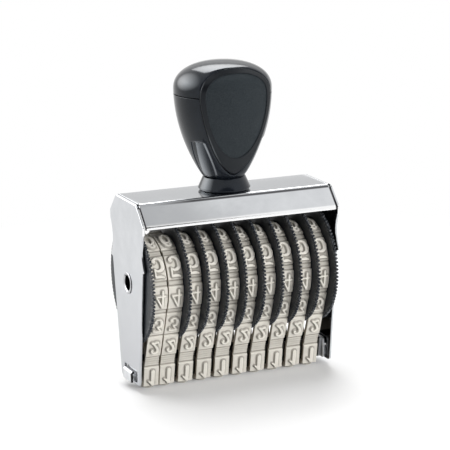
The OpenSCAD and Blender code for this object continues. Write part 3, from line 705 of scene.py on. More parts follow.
left_holes, left_reliefs = frame_cutters(-1)
right_holes, right_reliefs = frame_cutters(1)
screw_hole = cylinder_cutter("z", (0, 0, Z_TOP), SCREW_HOLE_R, 6)
strips = [cut(write_mesh("left_cheek", *cheek_strip(-1)), left_holes + left_reliefs),
          cut(write_mesh("right_cheek", *cheek_strip(1)), right_holes + right_reliefs),
          cut(write_mesh("hood", *hood), left_reliefs + right_reliefs + [screw_hole])]
sheet = bmesh.new()
for strip in strips:
    sheet.from_mesh(strip.data)
    bpy.data.objects.remove(strip)
frame_mesh = bpy.data.meshes.new("frame_sheet")
sheet.to_mesh(frame_mesh)
sheet.free()
frame_piece = show(bpy.data.objects.new("frame_sheet", frame_mesh))
finish_piece(frame_piece, "frame", chrome, ["frame_housing"], sharp=35)


# %% [markdown]
# ## Axle tube
# The wheels run on a tube rolled from strip: its seam stays open, and both ends are flared over the
# cheeks. The tube's section is an open ring, and the flare is a change of that ring's radius.

# %% Axle tube
AXLE_R = 4.0
AXLE_WALL = 0.8
SEAM_BACK = math.radians(38)
SEAM_GAP = 0.9
SEAM_HALF = SEAM_GAP / 2 / (AXLE_R - AXLE_WALL / 2)
FLARE_R = 4.7
FLARE_T = 0.35
RING_STEPS = 64


def axle_rings():
    """Rings of the tube from end to end: x, outer radius and inner radius. Both grow in the flared lip."""
    bore, flare, tip = AXLE_R - AXLE_WALL, FLARE_R - AXLE_R, X_OUT + 0.05 + FLARE_T
    growth = [(0, 0, 0), (20, 0, 0), (X_IN - 1, 0, 0), (X_OUT - 0.5, 0, 0), (X_OUT + 0.03, 0, 0.04),
              (X_OUT + 0.07, 0.25, 0.08), (X_OUT + 0.12, flare - 0.1, 0.16), (X_OUT + 0.22, flare, 0.3),
              (tip - 0.07, flare - 0.08, 0.65), (tip, flare - 0.3, AXLE_WALL)]
    half = np.array(growth) + [0, AXLE_R, bore]
    return np.concatenate([half[:0:-1] * [-1, 1, 1], half]).T


def axle_mesh():
    """Open rings along X. phi is measured from the seam, whose middle is SEAM_BACK behind straight up."""
    x, outer, inner = axle_rings()
    phi = np.linspace(SEAM_HALF, 2 * math.pi - SEAM_HALF, RING_STEPS)
    angle = np.concatenate([phi, phi[::-1]]) + SEAM_BACK
    radius = np.repeat(np.stack([outer, inner], 1), RING_STEPS, 1)
    n, m = radius.shape
    x = np.repeat(x[:, None], m, 1)
    grid = np.stack([x, radius * np.sin(angle), Z_AXLE + radius * np.cos(angle)], -1)
    k = np.arange(RING_STEPS - 1)
    end = np.stack([k, k + 1, m - 2 - k, m - 1 - k], -1)
    faces = [grid_faces(n, m, False, True), end[:, ::-1], end + (n - 1) * m]
    # The bore mark tells the material where the painted shade inside the tube goes.
    bore = (radius < AXLE_R - AXLE_WALL + 0.1) & (np.arange(m) >= RING_STEPS)
    return grid.reshape(-1, 3), faces, {"bore": bore.ravel()}


axle_piece = write_mesh("axle_tube_rolled", *axle_mesh())
finish_piece(axle_piece, "frame", axle_steel, ["axle_tube"], sharp=40)


# %% [markdown]
# ## Anvil
# The bands pass under a bright channel. An ear at each end keeps the last band on, and a tongue goes out
# through the slot in the cheek and is folded down as a lug. Both are bent sheet again.

# %% Anvil
ANVIL_LOW, ANVIL_TOP, ANVIL_Z = 3.9, 5.6, 12.2
EAR_X = 43.85
EAR_HALF, EAR_Z, EAR_CORNER = 7.6, (3.4, 12.8), 0.8
LUG_X = 46.8
LUG_Z = (3.4, 8.3)


def ear_strip(sign):
    """An upright ear with rounded corners, at the left (-1) or the right (1)."""
    turn = np.radians(np.linspace(0, 90, 5))
    z = np.concatenate([EAR_Z[0] + EAR_CORNER * (1 - np.cos(turn)), np.linspace(5, 11, 4),
                        EAR_Z[1] - EAR_CORNER * (1 - np.sin(turn))])
    inset = np.clip(EAR_CORNER - np.minimum(z - EAR_Z[0], EAR_Z[1] - z), 0, EAR_CORNER)
    half = EAR_HALF - EAR_CORNER + np.sqrt(EAR_CORNER ** 2 - inset ** 2)
    path = in_xz(np.stack([np.full(len(z), EAR_X), z], -1), sign)
    return bent_sheet(path, np.tile([sign, 0.0, 0.0], (len(z), 1)), (0, 1, 0), -half, half)


def lug_strip(sign):
    """A tongue through the cheek's slot that is folded down outside it."""
    path, normal = polyline([(EAR_X - 0.6, LUG_Z[1]), (LUG_X, LUG_Z[1]), (LUG_X, LUG_Z[0])], [0, BEND_R, 0])
    ones = np.ones(len(path))
    return bent_sheet(in_xz(path, sign), in_xz(normal, sign), (0, 1, 0), LUG_Y[0] * ones, LUG_Y[1] * ones)


def anvil_mesh():
    """The channel, two ears and two folded lugs, as closed strips that run into each other."""
    path, normal = polyline([(-ANVIL_TOP, ANVIL_Z), (-ANVIL_LOW, Z_FOOT), (ANVIL_LOW, Z_FOOT),
                             (ANVIL_TOP, ANVIL_Z)], [0, BEND_R, BEND_R, 0])
    half = np.full(len(path), EAR_X - 0.1)
    parts = [bent_sheet(in_yz(path), in_yz(-normal), (1, 0, 0), -half, half)]
    for sign in (-1, 1):
        parts += [ear_strip(sign), lug_strip(sign)]
    return join(parts)


anvil_piece = write_mesh("anvil_folded", *anvil_mesh())
finish_piece(anvil_piece, "frame", bright_plate, ["anvil"], sharp=35)


# %% [markdown]
# ## Thumbwheels
# A thumbwheel is a drum with a thin flange whose rim is beaded for grip. It is a surface of revolution,
# except that the rim's outline changes round the wheel between that of a gap and that of a bead.

# %% Thumbwheels
BEADS = 100
RIM_SECTIONS = np.array([
    [(-.35, -1.35), (-.33, -1.2), (-.2, -1.08), (0, -1.05), (.2, -1.08), (.33, -1.2), (.35, -1.35),
     (.35, -1.5)],
    [(-.35, -1.1), (-.33, -.5), (-.15, -.1), (.2, 0), (.62, -.1), (.9, -.45), (.95, -.85), (.5, -1.45)]])
BEAD_SHARE = 0.68
FLANGE = 0.7
BOSS_R = 6.5
BOSS_H = 0.45
DRUM_R = 17.6
BORE_R = 4.06
STEPS_PER_BEAD = 8


def bead_height(angle):
    """0 between the beads and 1 on their tops: a squared-off half circle over a share of the pitch."""
    along = 2 * np.abs((angle * BEADS / (2 * np.pi) + 0.5) % 1 - 0.5)
    return np.sqrt(np.clip(1 - (along / BEAD_SHARE) ** 3, 0, 1))


def wheel_mesh(drum, x_start, direction):
    """Rows go round the wheel and columns round its outline (x, r). The rim has two outlines, one for the
    gaps and one for the beads, and a row's outline = gap + bead height * (bead - gap). The beads stand out
    towards the right-hand side of the stamp, where the next band leaves room for them."""
    flange = drum + FLANGE
    drum_side = [(0.00, BORE_R), (0.00, 9), (0.00, DRUM_R - 0.3), (0.08, DRUM_R - 0.08), (0.3, DRUM_R),
                 (drum * 0.5, DRUM_R), (drum - 0.35, DRUM_R), (drum - 0.08, DRUM_R + 0.1),
                 (drum, DRUM_R + 0.4), (drum, DRUM_R + 4.0), (drum, RIM_R - 1.7)]
    hub_side = [(flange, RIM_R - 1.7), (flange, 16), (flange, BOSS_R + 0.5), (flange + 0.05, BOSS_R + 0.12),
                (flange + BOSS_H - 0.1, BOSS_R), (flange + BOSS_H, BOSS_R - 0.12),
                (flange + BOSS_H, BORE_R + 0.1), (flange + BOSS_H - 0.1, BORE_R), (drum * 0.5, BORE_R)]
    rim = np.array([drum + FLANGE / 2, RIM_R]) + RIM_SECTIONS[:, ::direction] * [direction, 1]
    gap, bead = (np.concatenate([drum_side, part, hub_side]) for part in rim)
    angle = np.linspace(0, 2 * np.pi, BEADS * STEPS_PER_BEAD, endpoint=False)[:, None]
    share = bead_height(angle)[..., None]
    outline = gap + share * (bead - gap)
    x, radius = outline[..., 0], outline[..., 1]
    grid = np.stack([x_start + direction * x, radius * np.cos(angle), Z_AXLE + radius * np.sin(angle)], -1)
    return grid.reshape(-1, 3), [grid_faces(len(angle), x.shape[1], True, True)]


for n in range(1, 11):
    node = "wheel_%d" % n
    low, high = corners(node)
    drum_length = high[0] - low[0] - FLANGE - BOSS_H
    begin, way = (high[0], -1) if n == 1 else (low[0], 1)
    wheel_piece = write_mesh("thumbwheel_%d" % n, *wheel_mesh(drum_length, begin, way))
    finish_piece(wheel_piece, node, wheel_black, [node], sharp=48)


# %% [markdown]
# ## The path of a band
# A band runs round its drum, straight down to the anvil's shoulder, along the anvil's face, round its
# lower edge and under it. The half path is sampled finely once: for each distance from the middle of the
# printing face it gives the point on the band's inner face and the direction that faces outwards.

# %% Band path
BELT = 1.3
PAD = 0.6
FIGURE = 1.0
R_DRUM = DRUM_R + 0.2
R_LOW = BEND_R + 0.1
KINK_R = 4.0


def unit(angle):
    """Unit vector at an angle in degrees."""
    a = np.radians(angle)
    return np.stack([np.cos(a), np.sin(a)], -1)


LEAN = math.degrees(math.atan2(ANVIL_TOP - ANVIL_LOW, ANVIL_Z - Z_FOOT))
FACE_DIR = 180 + LEAN
LOW_C = np.array([-ANVIL_LOW + BEND_R / math.tan(math.radians((90 + LEAN) / 2)), Z_FOOT + BEND_R])
FOOT_FACE = LOW_C + R_LOW * unit(FACE_DIR)
KINK = np.array([-ANVIL_TOP - 0.1 / math.cos(math.radians(LEAN)), ANVIL_Z])
DRUM_C = np.array([0.0, Z_AXLE])
to_drum = DRUM_C - KINK
SLOPE_DIR = (math.degrees(math.atan2(to_drum[1], to_drum[0]))
             + math.degrees(math.acos(-R_DRUM / np.linalg.norm(to_drum))))


def band_path():
    """Distance, point (y, z) and outward angle along the front half, from the bottom middle to the top: a
    tight arc at the anvil's lower edge, a hollow bend at its upper one, and the arc on the drum."""
    face_up = np.array([unit(FACE_DIR)[1], -unit(FACE_DIR)[0]])
    blend = KINK_R * math.tan(math.radians(SLOPE_DIR - FACE_DIR) / 2)
    bend_centre = KINK - blend * face_up + KINK_R * unit(FACE_DIR)
    low, hollow, drum = (np.linspace(270, FACE_DIR, 40), np.linspace(FACE_DIR, SLOPE_DIR, 20),
                         np.linspace(SLOPE_DIR, 90, 300))
    points = np.concatenate([[[0, LOW_C[1] - R_LOW]], LOW_C + R_LOW * unit(low),
                             bend_centre - KINK_R * unit(hollow), DRUM_C + R_DRUM * unit(drum)])
    distance = np.concatenate([[0], np.cumsum(np.linalg.norm(np.diff(points, axis=0), axis=1))])
    return distance, points, np.concatenate([[270], low, hollow, drum])


path_s, path_points, path_angle = band_path()
HALF_LOOP = path_s[-1]
print("band: inner length %.1f mm, slope leans %.1f degrees" % (2 * HALF_LOOP, SLOPE_DIR - 180))


def place_on_band(s, height):
    """Point at distance s round the loop (negative s runs up the rear) and height above the inner face."""
    side = np.where(s < 0, -1.0, 1.0)
    d = np.abs(s)
    y = np.interp(d, path_s, path_points[:, 0])
    z = np.interp(d, path_s, path_points[:, 1])
    a = np.radians(np.interp(d, path_s, path_angle))
    return side * (y + height * np.cos(a)), z + height * np.sin(a)


# %% [markdown]
# ## Figures
# A figure is a few brush strokes: each is a smooth curve through knots that carry a half width, so thick
# and thin come as in old printing type. Every point of a pad gets its distance to the nearest stroke,
# and the distance gives the height with a slightly slanting flank. Figures are drawn upright here and
# turned over on the band, as type for printing has to be.

# %% Strokes of the figures
FIGURES = {
    "0": [[(0, 3.9, .38), (-1.5, 2.6, .62), (-1.95, 0, .8), (-1.5, -2.6, .62), (0, -3.9, .38),
           (1.5, -2.6, .62), (1.95, 0, .8), (1.5, 2.6, .62), (0, 3.9, .38)]],
    "1": [[(0.4, 3.7, .8), (0.4, -3.7, .85)], [(-1.7, 2.2, .22), (-0.7, 2.9, .42), (0.3, 3.9, .55)]],
    "2": [[(-1.45, 2.2, .72), (-1.5, 2.3, .7)],
          [(-1.9, 2.7, .35), (-1.1, 3.8, .35), (0.4, 3.95, .42), (1.75, 2.7, .68), (1.5, 0.9, .62),
           (0.1, -1.3, .42), (-1.9, -3.5, .32)],
          [(-1.9, -3.5, .45), (-0.7, -3.2, .55), (0.7, -3.75, .55), (1.8, -3.4, .38), (2.2, -2.3, .25)]],
    "3": [[(-2.0, 2.5, .22), (-1.8, 3.75, .32), (2.0, 3.75, .32)], [(1.9, 3.7, .28), (-0.2, 0.9, .3)],
          [(-0.2, 0.9, .3), (1.4, 0.5, .48), (2.05, -1.5, .72), (1.0, -3.6, .45), (-0.7, -3.9, .36),
           (-1.7, -3.0, .45)], [(-1.4, -2.6, .7), (-1.45, -2.65, .7)]],
    "4": [[(0.8, 4.0, .30), (-2.2, -1.5, .26)], [(-2.2, -1.6, .28), (2.3, -1.6, .30)],
          [(1.0, 3.9, .46), (1.0, -3.9, .46)]],
    "5": [[(-1.4, 3.8, .38), (0.3, 3.6, .5), (1.9, 4.0, .25)], [(-1.5, 3.7, .3), (-1.55, 0.6, .26)],
          [(-1.55, 0.6, .26), (-0.2, 1.4, .4), (1.6, 0.6, .68), (1.95, -1.5, .75), (1.0, -3.5, .46),
           (-0.6, -3.9, .36), (-1.7, -3.0, .42)], [(-1.35, -2.6, .68), (-1.4, -2.65, .68)]],
    "6": [[(1.3, 2.9, .56), (1.35, 2.95, .54)],
          [(1.6, 3.3, .36), (0.6, 3.95, .36), (-0.9, 3.1, .48), (-1.7, 0.4, .62), (-1.4, -2.5, .52),
           (0, -3.9, .38), (1.4, -2.6, .52), (1.7, -0.5, .58), (1.15, 1.5, .44), (0, 2.1, .34),
           (-1.2, 1.2, .3)]],
    "7": [[(-2.1, 2.5, .25), (-1.8, 3.4, .5), (-0.3, 3.7, .5), (2.0, 3.6, .38)],
          [(2.0, 3.5, .3), (0.2, 0.2, .5), (-0.6, -3.9, .75)]],
    "8": [[(0, 3.9, .34), (-1.5, 2.4, .6), (-0.2, 0.5, .45), (1.7, -1.9, .7), (0, -3.95, .36),
           (-1.75, -2.0, .66), (-0.1, 0.3, .36), (1.5, 2.4, .52), (0, 3.9, .34)]],
}
FIGURES["9"] = [[(-x, -y, w) for x, y, w in stroke] for stroke in FIGURES["6"]]
FAR = 9.0
print("strokes of the figures:", [len(FIGURES[digit]) for digit in sorted(FIGURES)])


def smooth_stroke(knots, steps=7):
    """A curve through the knots: each span is a cubic whose slope at a knot is half the distance between
    the knot's neighbours."""
    k = np.asarray(knots, float)
    if len(k) == 2:
        return k
    closed = np.allclose(k[0], k[-1])
    before = k[-2] if closed else 2 * k[0] - k[1]
    after = k[1] if closed else 2 * k[-1] - k[-2]
    p = np.vstack([before, k, after])
    t = np.linspace(0, 1, steps, endpoint=False)[None, :, None]
    p0, p1, p2, p3 = (p[i:len(p) - 3 + i][:, None, :] for i in range(4))
    curve = 0.5 * (2 * p1 + (p2 - p0) * t + (2 * p0 - 5 * p1 + 4 * p2 - p3) * t ** 2
                   + (3 * p1 - p0 - 3 * p2 + p3) * t ** 3)
    return np.vstack([curve.reshape(-1, 3), k[-1]])


def figure_distance(digit, x, y):
    """Signed distance from (x, y) to a figure's outline, negative inside: distance to a stroke's
    centreline minus the half width there, and the smallest over all strokes."""
    points = np.stack([x.ravel(), y.ravel()], -1)[:, None, :]
    best = np.full(len(points), FAR)
    for knots in FIGURES[digit]:
        c = smooth_stroke(knots)
        a, b = c[:-1, :2][None], c[1:, :2][None]
        along = b - a
        t = np.clip(((points - a) * along).sum(-1) / (along ** 2).sum(-1).clip(1e-9), 0, 1)
        width = c[:-1, 2] + t * (c[1:, 2] - c[:-1, 2])
        gap = np.linalg.norm(points - a - t[..., None] * along, axis=-1) - width
        best = np.minimum(best, gap.min(1))
    return best.reshape(x.shape)


# %% [markdown]
# ## Pads and webs
# Thirteen pads sit on the belt. Ten carry a figure and three are blank. Between two pads the belt has
# small cross ribs from the mould. Each pad is known by the distance of its middle along the band. At the
# anvil's lower edge the band turns in a tight arc, but the pads' faces stay flat there, so the height
# above the belt grows with the angle from the pad's own direction.

# %% Pads
PAD_L, PRINT_L, FACE_L = 10.3, 9.2, 9.0
FACE_PAD_UP = 1.9
SLOPE_PADS_UP = (9.25, 20.8)
DRUM_PADS = (189.9, 150.7, 110.5)
PAD_TOP = BELT + PAD
FLAT_HALF = -LOW_C[0]
ARC_END = FLAT_HALF + math.radians(270 - FACE_DIR) * R_LOW
STEEPEST = 1.35


def pad_list():
    """(figure, distance of the middle, half length at the top, stretch of the top) for each pad."""
    kink_s = ARC_END + np.linalg.norm(KINK - FOOT_FACE)
    drum_start = HALF_LOOP - math.radians(SLOPE_DIR - 90) * R_DRUM
    drum_s = [drum_start + math.radians(SLOPE_DIR - a) * R_DRUM for a in DRUM_PADS]
    stretch = (R_DRUM + PAD_TOP) / R_DRUM
    front = [("1", ARC_END + FACE_PAD_UP, FACE_L / 2, 1.0), ("2", kink_s + SLOPE_PADS_UP[0], PAD_L / 2, 1.0),
             ("3", kink_s + SLOPE_PADS_UP[1], PAD_L / 2, 1.0)]
    front += [(d, s, PAD_L / 2, stretch) for d, s in zip("456", drum_s)]
    rear = [(d, -p[1], p[2], p[3]) for d, p in zip("   987", front)]
    return [("0", 0.0, PRINT_L / 2, 1.0)] + front + rear


PADS = pad_list()
print("pads:", " ".join(p[0].replace(" ", "-") for p in PADS))


def pad_coordinate(pad, s):
    """Distance along the pad's flat top from its middle, and the growth of its height where the band
    turns away: on the arc at angle t from the pad's direction, distance = end + (r + top) * tan t and
    growth = 1 / cos t."""
    _, middle, _, stretch = pad
    u = (s - middle) * stretch
    angle = np.zeros_like(s)
    reach = R_LOW + PAD_TOP
    if middle == 0:
        angle = np.clip((np.abs(s) - FLAT_HALF) / R_LOW, 0, STEEPEST)
        u = np.where(angle > 0, np.sign(s) * (FLAT_HALF + reach * np.tan(angle)), u)
    elif abs(middle) < ARC_END + 2 * FACE_PAD_UP:
        inward = -math.copysign(1, middle)
        angle = np.clip((ARC_END - s * np.sign(middle)) / R_LOW, 0, STEEPEST)
        u = np.where(angle > 0, inward * (abs(middle) - ARC_END + reach * np.tan(angle)), u)
    return u, 1 / np.cos(angle)


FINE_ROW, BLANK_ROW, ARC_ROWS = 0.17, 0.42, 42


def band_rows():
    """Distances of the rows: 0.17 mm apart, 0.05 mm on the tight arcs, 0.42 mm on the blank rear pads."""
    arcs = np.linspace(FLAT_HALF - 0.1, ARC_END + 0.1, ARC_ROWS)
    flat = np.arange(-FLAT_HALF + FINE_ROW, FLAT_HALF, FINE_ROW)
    front = np.arange(ARC_END + 0.2, HALF_LOOP, FINE_ROW)
    figures_rear = np.arange(-HALF_LOOP + 0.1, -PADS[3][1] - 5.9, FINE_ROW)
    blank_rear = np.arange(-PADS[3][1] - 5.8, -ARC_END - 0.3, BLANK_ROW)
    return np.unique(np.concatenate([figures_rear, blank_rear, -arcs, flat, arcs, front]).round(4))


# %% [markdown]
# ## Bands
# One band is one closed surface: its rows run along the loop and its columns run round the cross
# section, most of them over the outer face, where the figures stand. The relief is worked out once for
# all bands. Each band then sits a little differently, as rubber bands do. Some figures are cut smaller
# than others, and one sits lower on its pad, so size and place each have a short table.

# %% Relief of a figure
BAND_W = band_high[0] - band_low[0]
TOP_COLUMNS = 46
CORNER = 0.25
FIGURE_WIDE = 1.06
FIGURE_FILL = 5.0
STROKE_MORE = 0.06
FIGURE_SIZE = {"1": 0.84, "2": 0.70, "3": 0.76, "4": 0.86, "6": 0.92}
FIGURE_LOWER = {"6": 0.5}
DRAFT = 0.34


def bell(distance, width):
    """1 at distance 0, falling off on both sides as exp(-(distance / width) squared)."""
    return np.exp(-(distance / width) ** 2)


def figure_relief(figure, half, u, x):
    """Height of a figure between 0 and 1 for each row and column of its pad, and its marks edge, a painted
    highlight, and hollow, painted shade. The height falls from 1 to 0 over the DRAFT outside the strokes."""
    size, shape = FIGURE_SIZE.get(figure, 1.0), (len(u), len(x))
    lowered = u[:, None] + FIGURE_LOWER.get(figure, 0.0)
    figure_x = np.broadcast_to(x / FIGURE_WIDE / size, shape)
    figure_y = np.broadcast_to(-lowered * FIGURE_FILL / half / size, shape)
    field = figure_distance(figure, figure_x, figure_y) * size - STROKE_MORE
    raised = 1 - np.clip((field + 0.04) / DRAFT, 0, 1) ** 0.9
    # edge: a painted highlight along the strokes' tops; the next lines give painted shade at the foot and on
    # the sloping walls.
    edge = smoothstep(0.7, 1, raised) * (0.6 + 0.4 * bell(field + 0.12, 0.16))
    foot = (1 - raised) * bell(field - DRAFT, 0.3)
    return raised, edge, np.maximum(foot, 2.6 * raised * (1 - raised))


# %% Relief of a band
def band_relief():
    """Height over the inner face for each row and top column, and the attributes edge, a painted highlight,
    and hollow, painted shade. Height = belt + the highest of all pads, where a pad counts pad height plus
    figure height inside its outline; webs get ribs, and both sides are rounded off."""
    s = band_rows()
    x = np.linspace(-BAND_W / 2 + 0.03, BAND_W / 2 - 0.03, TOP_COLUMNS)
    height = np.full((len(s), len(x)), BELT)
    edge, hollow = np.zeros_like(height), np.zeros_like(height)
    outside = np.full(len(s), FAR)
    for pad in PADS:
        figure, _, half, _ = pad
        u, growth = pad_coordinate(pad, s)
        gap = np.abs(u) - half
        near = gap < 1.2
        outside = np.minimum(outside, gap)
        raised = np.zeros((near.sum(), len(x)))
        if figure != " ":
            raised, figure_painted_highlight, figure_painted_shade = figure_relief(figure, half, u[near], x)
            edge[near] = np.maximum(edge[near], figure_painted_highlight)
            hollow[near] = np.maximum(hollow[near], figure_painted_shade)
        # A painted highlight just inside the pads' ends.
        edge[near] = np.maximum(edge[near], 0.5 * bell(gap[near] + 0.18, 0.2)[:, None])
        share = 1 - smoothstep(-0.12, 0.32, gap[near])
        full = (R_LOW + PAD_TOP + FIGURE * raised) * growth[near][:, None] - R_LOW - BELT
        height[near] = np.maximum(height[near], BELT + share[:, None] * full)
    web = smoothstep(0.75, 1.0, outside)
    ribs = 0.5 + 0.13 * np.cos(2 * np.pi * (outside - 1.2) / 1.15)
    height = np.maximum(height, (BELT + PAD * web * ribs)[:, None])
    # Painted shade in the grooves and on the webs between the pads.
    groove = smoothstep(0.1, 0.4, outside) * (1 - web)
    hollow = np.maximum(hollow, np.maximum(0.3 * web, groove)[:, None])
    to_side = BAND_W / 2 - np.abs(x)
    inside = np.clip(CORNER - to_side, 0, CORNER)
    height = height - (CORNER - np.sqrt(CORNER ** 2 - inside ** 2))[None, :]
    # A painted highlight along the pads' sides.
    edge = np.maximum(edge, (0.6 * bell(to_side, 0.2))[None, :] * (outside < 0)[:, None])
    return s, x, height, edge, hollow, web


relief_s, relief_x, relief_h, relief_painted_highlight, relief_painted_shade, relief_web = band_relief()
print("relief:", relief_h.shape, "highest %.2f mm" % relief_h.max())


# %% Band meshes
PHASES = 6.28
PINCH, PINCH_WEB, PINCH_WAVE = 0.02, 0.14, 0.06
DRIFT, SWAY = 0.35, 0.05


def slack(random):
    """How a band differs from the next: its sides draw in by a pinch, more on the webs and by a wave of
    four sines, its front and rear runs drift along the loop, and the whole band sways to the side."""
    away = np.abs(relief_s)
    wave = sum(np.sin(relief_s / random.uniform(1.2, 6) + random.uniform(0, PHASES)) for _ in range(4)) / 4
    pinch = PINCH + PINCH_WEB * relief_web + PINCH_WAVE * wave
    free = smoothstep(8, 30, away) * (1 - smoothstep(HALF_LOOP - 25, HALF_LOOP - 1, away))
    drift = random.uniform(-DRIFT, DRIFT) * free
    swing = np.sin(relief_s / random.uniform(9, 14) + random.uniform(0, PHASES))
    return pinch, drift, SWAY * swing * smoothstep(6, 20, away)


def band_mesh(x_middle, seed):
    """Rows of closed cross sections: inner face, right flank, outer face from right to left, left flank.
    x = middle + x of the section * (1 - pinch) + sway, and the row sits at its distance + drift."""
    rows, half_w = len(relief_s), BAND_W / 2
    low, side = np.zeros(rows), relief_h[:, 0]
    inner = [(-half_w + 0.12, low), (0, low), (half_w - 0.12, low)]
    flank = [(half_w, low + 0.12), (half_w, side * 0.5), (half_w, side - 0.06)]
    before, after = inner + flank, flank[::-1]
    x = np.stack([np.full(rows, v) for v in [c[0] for c in before] + list(relief_x[::-1])
                  + [-c[0] for c in after]], 1)
    h = np.stack([c[1] for c in before] + list(relief_h[:, ::-1].T) + [c[1] for c in after], 1)
    ends = (rows, len(before)), (rows, len(after))
    # The flank mark tells the material where the browner painted shade goes.
    marks = {"flank": np.concatenate([np.ones(ends[0]), np.zeros(relief_h.shape), np.ones(ends[1])], 1)}
    for key, field in (("edge", relief_painted_highlight), ("hollow", relief_painted_shade)):
        marks[key] = np.concatenate([np.zeros(ends[0]), field[:, ::-1], np.zeros(ends[1])], 1)
    pinch, drift, sway = slack(np.random.default_rng(seed))
    y, z = place_on_band((relief_s + drift)[:, None] + 0 * h, h)
    x = x_middle + x * (1 - pinch / half_w)[:, None] + sway[:, None]
    return np.stack([x, y, z], -1).reshape(-1, 3), [grid_faces(rows, h.shape[1], True, True)], marks


for n in range(1, 11):
    low, high = corners("band_%d" % n)
    points, faces, marks = band_mesh((low[0] + high[0]) / 2, 40 + n)
    band_piece = write_mesh("digit_band_%d" % n, points, faces, marks)
    finish_piece(band_piece, "frame", band_rubber, ["band_%d" % n])


# %% [markdown]
# ## Handle
# The palm handle is moulded in two parts: a pear-shaped body and a domed cap, which meet at a fine seam.
# Both are turned shapes, so a radius for each height and angle describes them. The four scoops are
# where a leaning cylinder would cut in, but with a flat floor and, on the side towards the plate, a soft
# slope instead of a sharp edge. A groove runs round the outline of each oval plate.

# %% Handle shape
Z_NECK = collar_high[2]
Z_DOME = cap_high[2]
HANDLE_R = cap_high[0]
Z_SEAM = body_high[2]
Z_WIDE = Z_SEAM + 1.8
BODY_H = Z_WIDE - Z_NECK
DOME_H = Z_DOME - Z_WIDE
NECK_R = 9.0
PEAR_POWER, DOME_POWER, EGG_POWER = 0.8, 2.25, 2.4
PLATE_W, PLATE_UP, PLATE_DOWN = 16.0, 9.9, 36.0
EGG_LOWER = 2.0
Z_EGG = Z_WIDE - EGG_LOWER
BORDER_W, BORDER_TIP, BORDER_H = 2.1, 5.8, 0.45
PLATE_IN, PLATE_C, PLATE_T = 3.0, 12.0, 1.5
GROOVE_R, SEAT_GAP = 0.8, 0.06
SCOOP_R, SCOOP_D, SCOOP_UP = 11.0, 1.0, 6.0
SCOOP_LEAN = math.radians(27)
SCOOP_AT = np.radians([28, 152, 208, 332])
SCOOP_TOP = 7.0
SCOOP_STEEP, SCOOP_SOFT, SCOOP_FLOOR, SCOOP_EASE = 1.0, 0.55, 0.45, 0.3


def turned_radius(z):
    """Radius of the plain turned handle: a sine pear below the widest place, a superellipse above."""
    rise = np.clip((z - Z_NECK) / BODY_H, 0, 1)
    pear = NECK_R + (HANDLE_R - NECK_R) * np.sin(np.pi / 2 * rise) ** PEAR_POWER
    above = np.clip((z - Z_WIDE) / DOME_H, 0, 1)
    dome = HANDLE_R * (1 - above ** DOME_POWER) ** (1 / DOME_POWER)
    return np.where(z >= Z_WIDE, dome, pear)


def plate_half_width(z, grow=0.0, tip=0.0):
    """Half width of the egg-shaped plate at a height, made larger by grow and shorter at the tip by tip. A
    shortened egg is the border's inner outline, whose lower half is fuller."""
    bulge, point = (1.7, 0.5) if tip else (1.5, 0.62)
    width = PLATE_W + grow
    high = np.clip((z - Z_EGG) / (PLATE_UP + grow + EGG_LOWER), 0, 1)
    low = np.clip((Z_EGG - z) / (PLATE_DOWN + grow - tip - EGG_LOWER), 0, 1)
    upper = (1 - high ** EGG_POWER) ** (1 / EGG_POWER)
    return width * np.where(z >= Z_EGG, upper, (1 - low ** bulge) ** point)


print("handle: %.1f mm wide at %.1f mm up" % (2 * turned_radius(np.array(Z_WIDE)), Z_WIDE))


# %% Scoops
def scooped_radius(theta, z, radius):
    """The turned radius, or less where a scoop's cylinder cuts in. The ray from the axis meets the
    cylinder where its distance from the leaning line is the scoop's radius. The depth counts in full on
    the outer side of the scoop; towards the plate it is a share of that, eased to nothing at its edge.
    It stops at the floor and fades out at the scoop's top."""
    c, s = math.cos(SCOOP_LEAN), math.sin(SCOOP_LEAN)
    middle = turned_radius(np.array(Z_NECK + SCOOP_UP)) + SCOOP_R - SCOOP_D
    dz = z - Z_NECK - SCOOP_UP
    for at in SCOOP_AT:
        ray_x, ray_y = np.cos(theta - at), np.sin(theta - at)
        a0, a1 = -middle * c - dz * s, ray_x * c
        qa, qb, qc = a1 ** 2 + ray_y ** 2, 2 * a0 * a1, a0 ** 2 - SCOOP_R ** 2
        root = qb ** 2 - 4 * qa * qc
        hit = (-qb - np.sqrt(np.maximum(root, 0))) / (2 * qa)
        lengthwise = (hit * ray_x - middle) * s + dz * c
        depth = np.where((root > 0) & (ray_x > 0), radius - hit, 0)
        side = smoothstep(-0.15, 0.3, np.sign(math.sin(2 * at)) * ray_y)
        depth = np.maximum(depth * (SCOOP_STEEP + (SCOOP_SOFT - SCOOP_STEEP) * side), 0)
        depth = depth * (1 - side * SCOOP_EASE / (depth + SCOOP_EASE))
        depth = np.clip(depth, 0, SCOOP_FLOOR) * (1 - smoothstep(SCOOP_TOP - 0.6, SCOOP_TOP, lengthwise))
        radius = radius - depth
    return radius


print("scoops at", np.degrees(SCOOP_AT).round().astype(int).tolist(), "degrees")


# %% Seats of the oval plates
OUTLINE_STEPS = 120
CHUNK = 4000


def outline_of_plate(grow=0.0, tip=0.0):
    """The plate's outline (x, z) as a closed loop that starts at the lower tip."""
    t = np.linspace(0, np.pi, OUTLINE_STEPS)
    below, above = PLATE_DOWN + grow - tip - EGG_LOWER, PLATE_UP + grow + EGG_LOWER
    z = Z_EGG - np.cos(t) * np.where(t < np.pi / 2, below, above)
    x = plate_half_width(z, grow, tip)
    x[0] = x[-1] = 0
    half = np.stack([x, z], -1)
    return np.concatenate([half, (half * [-1, 1])[-2:0:-1]])


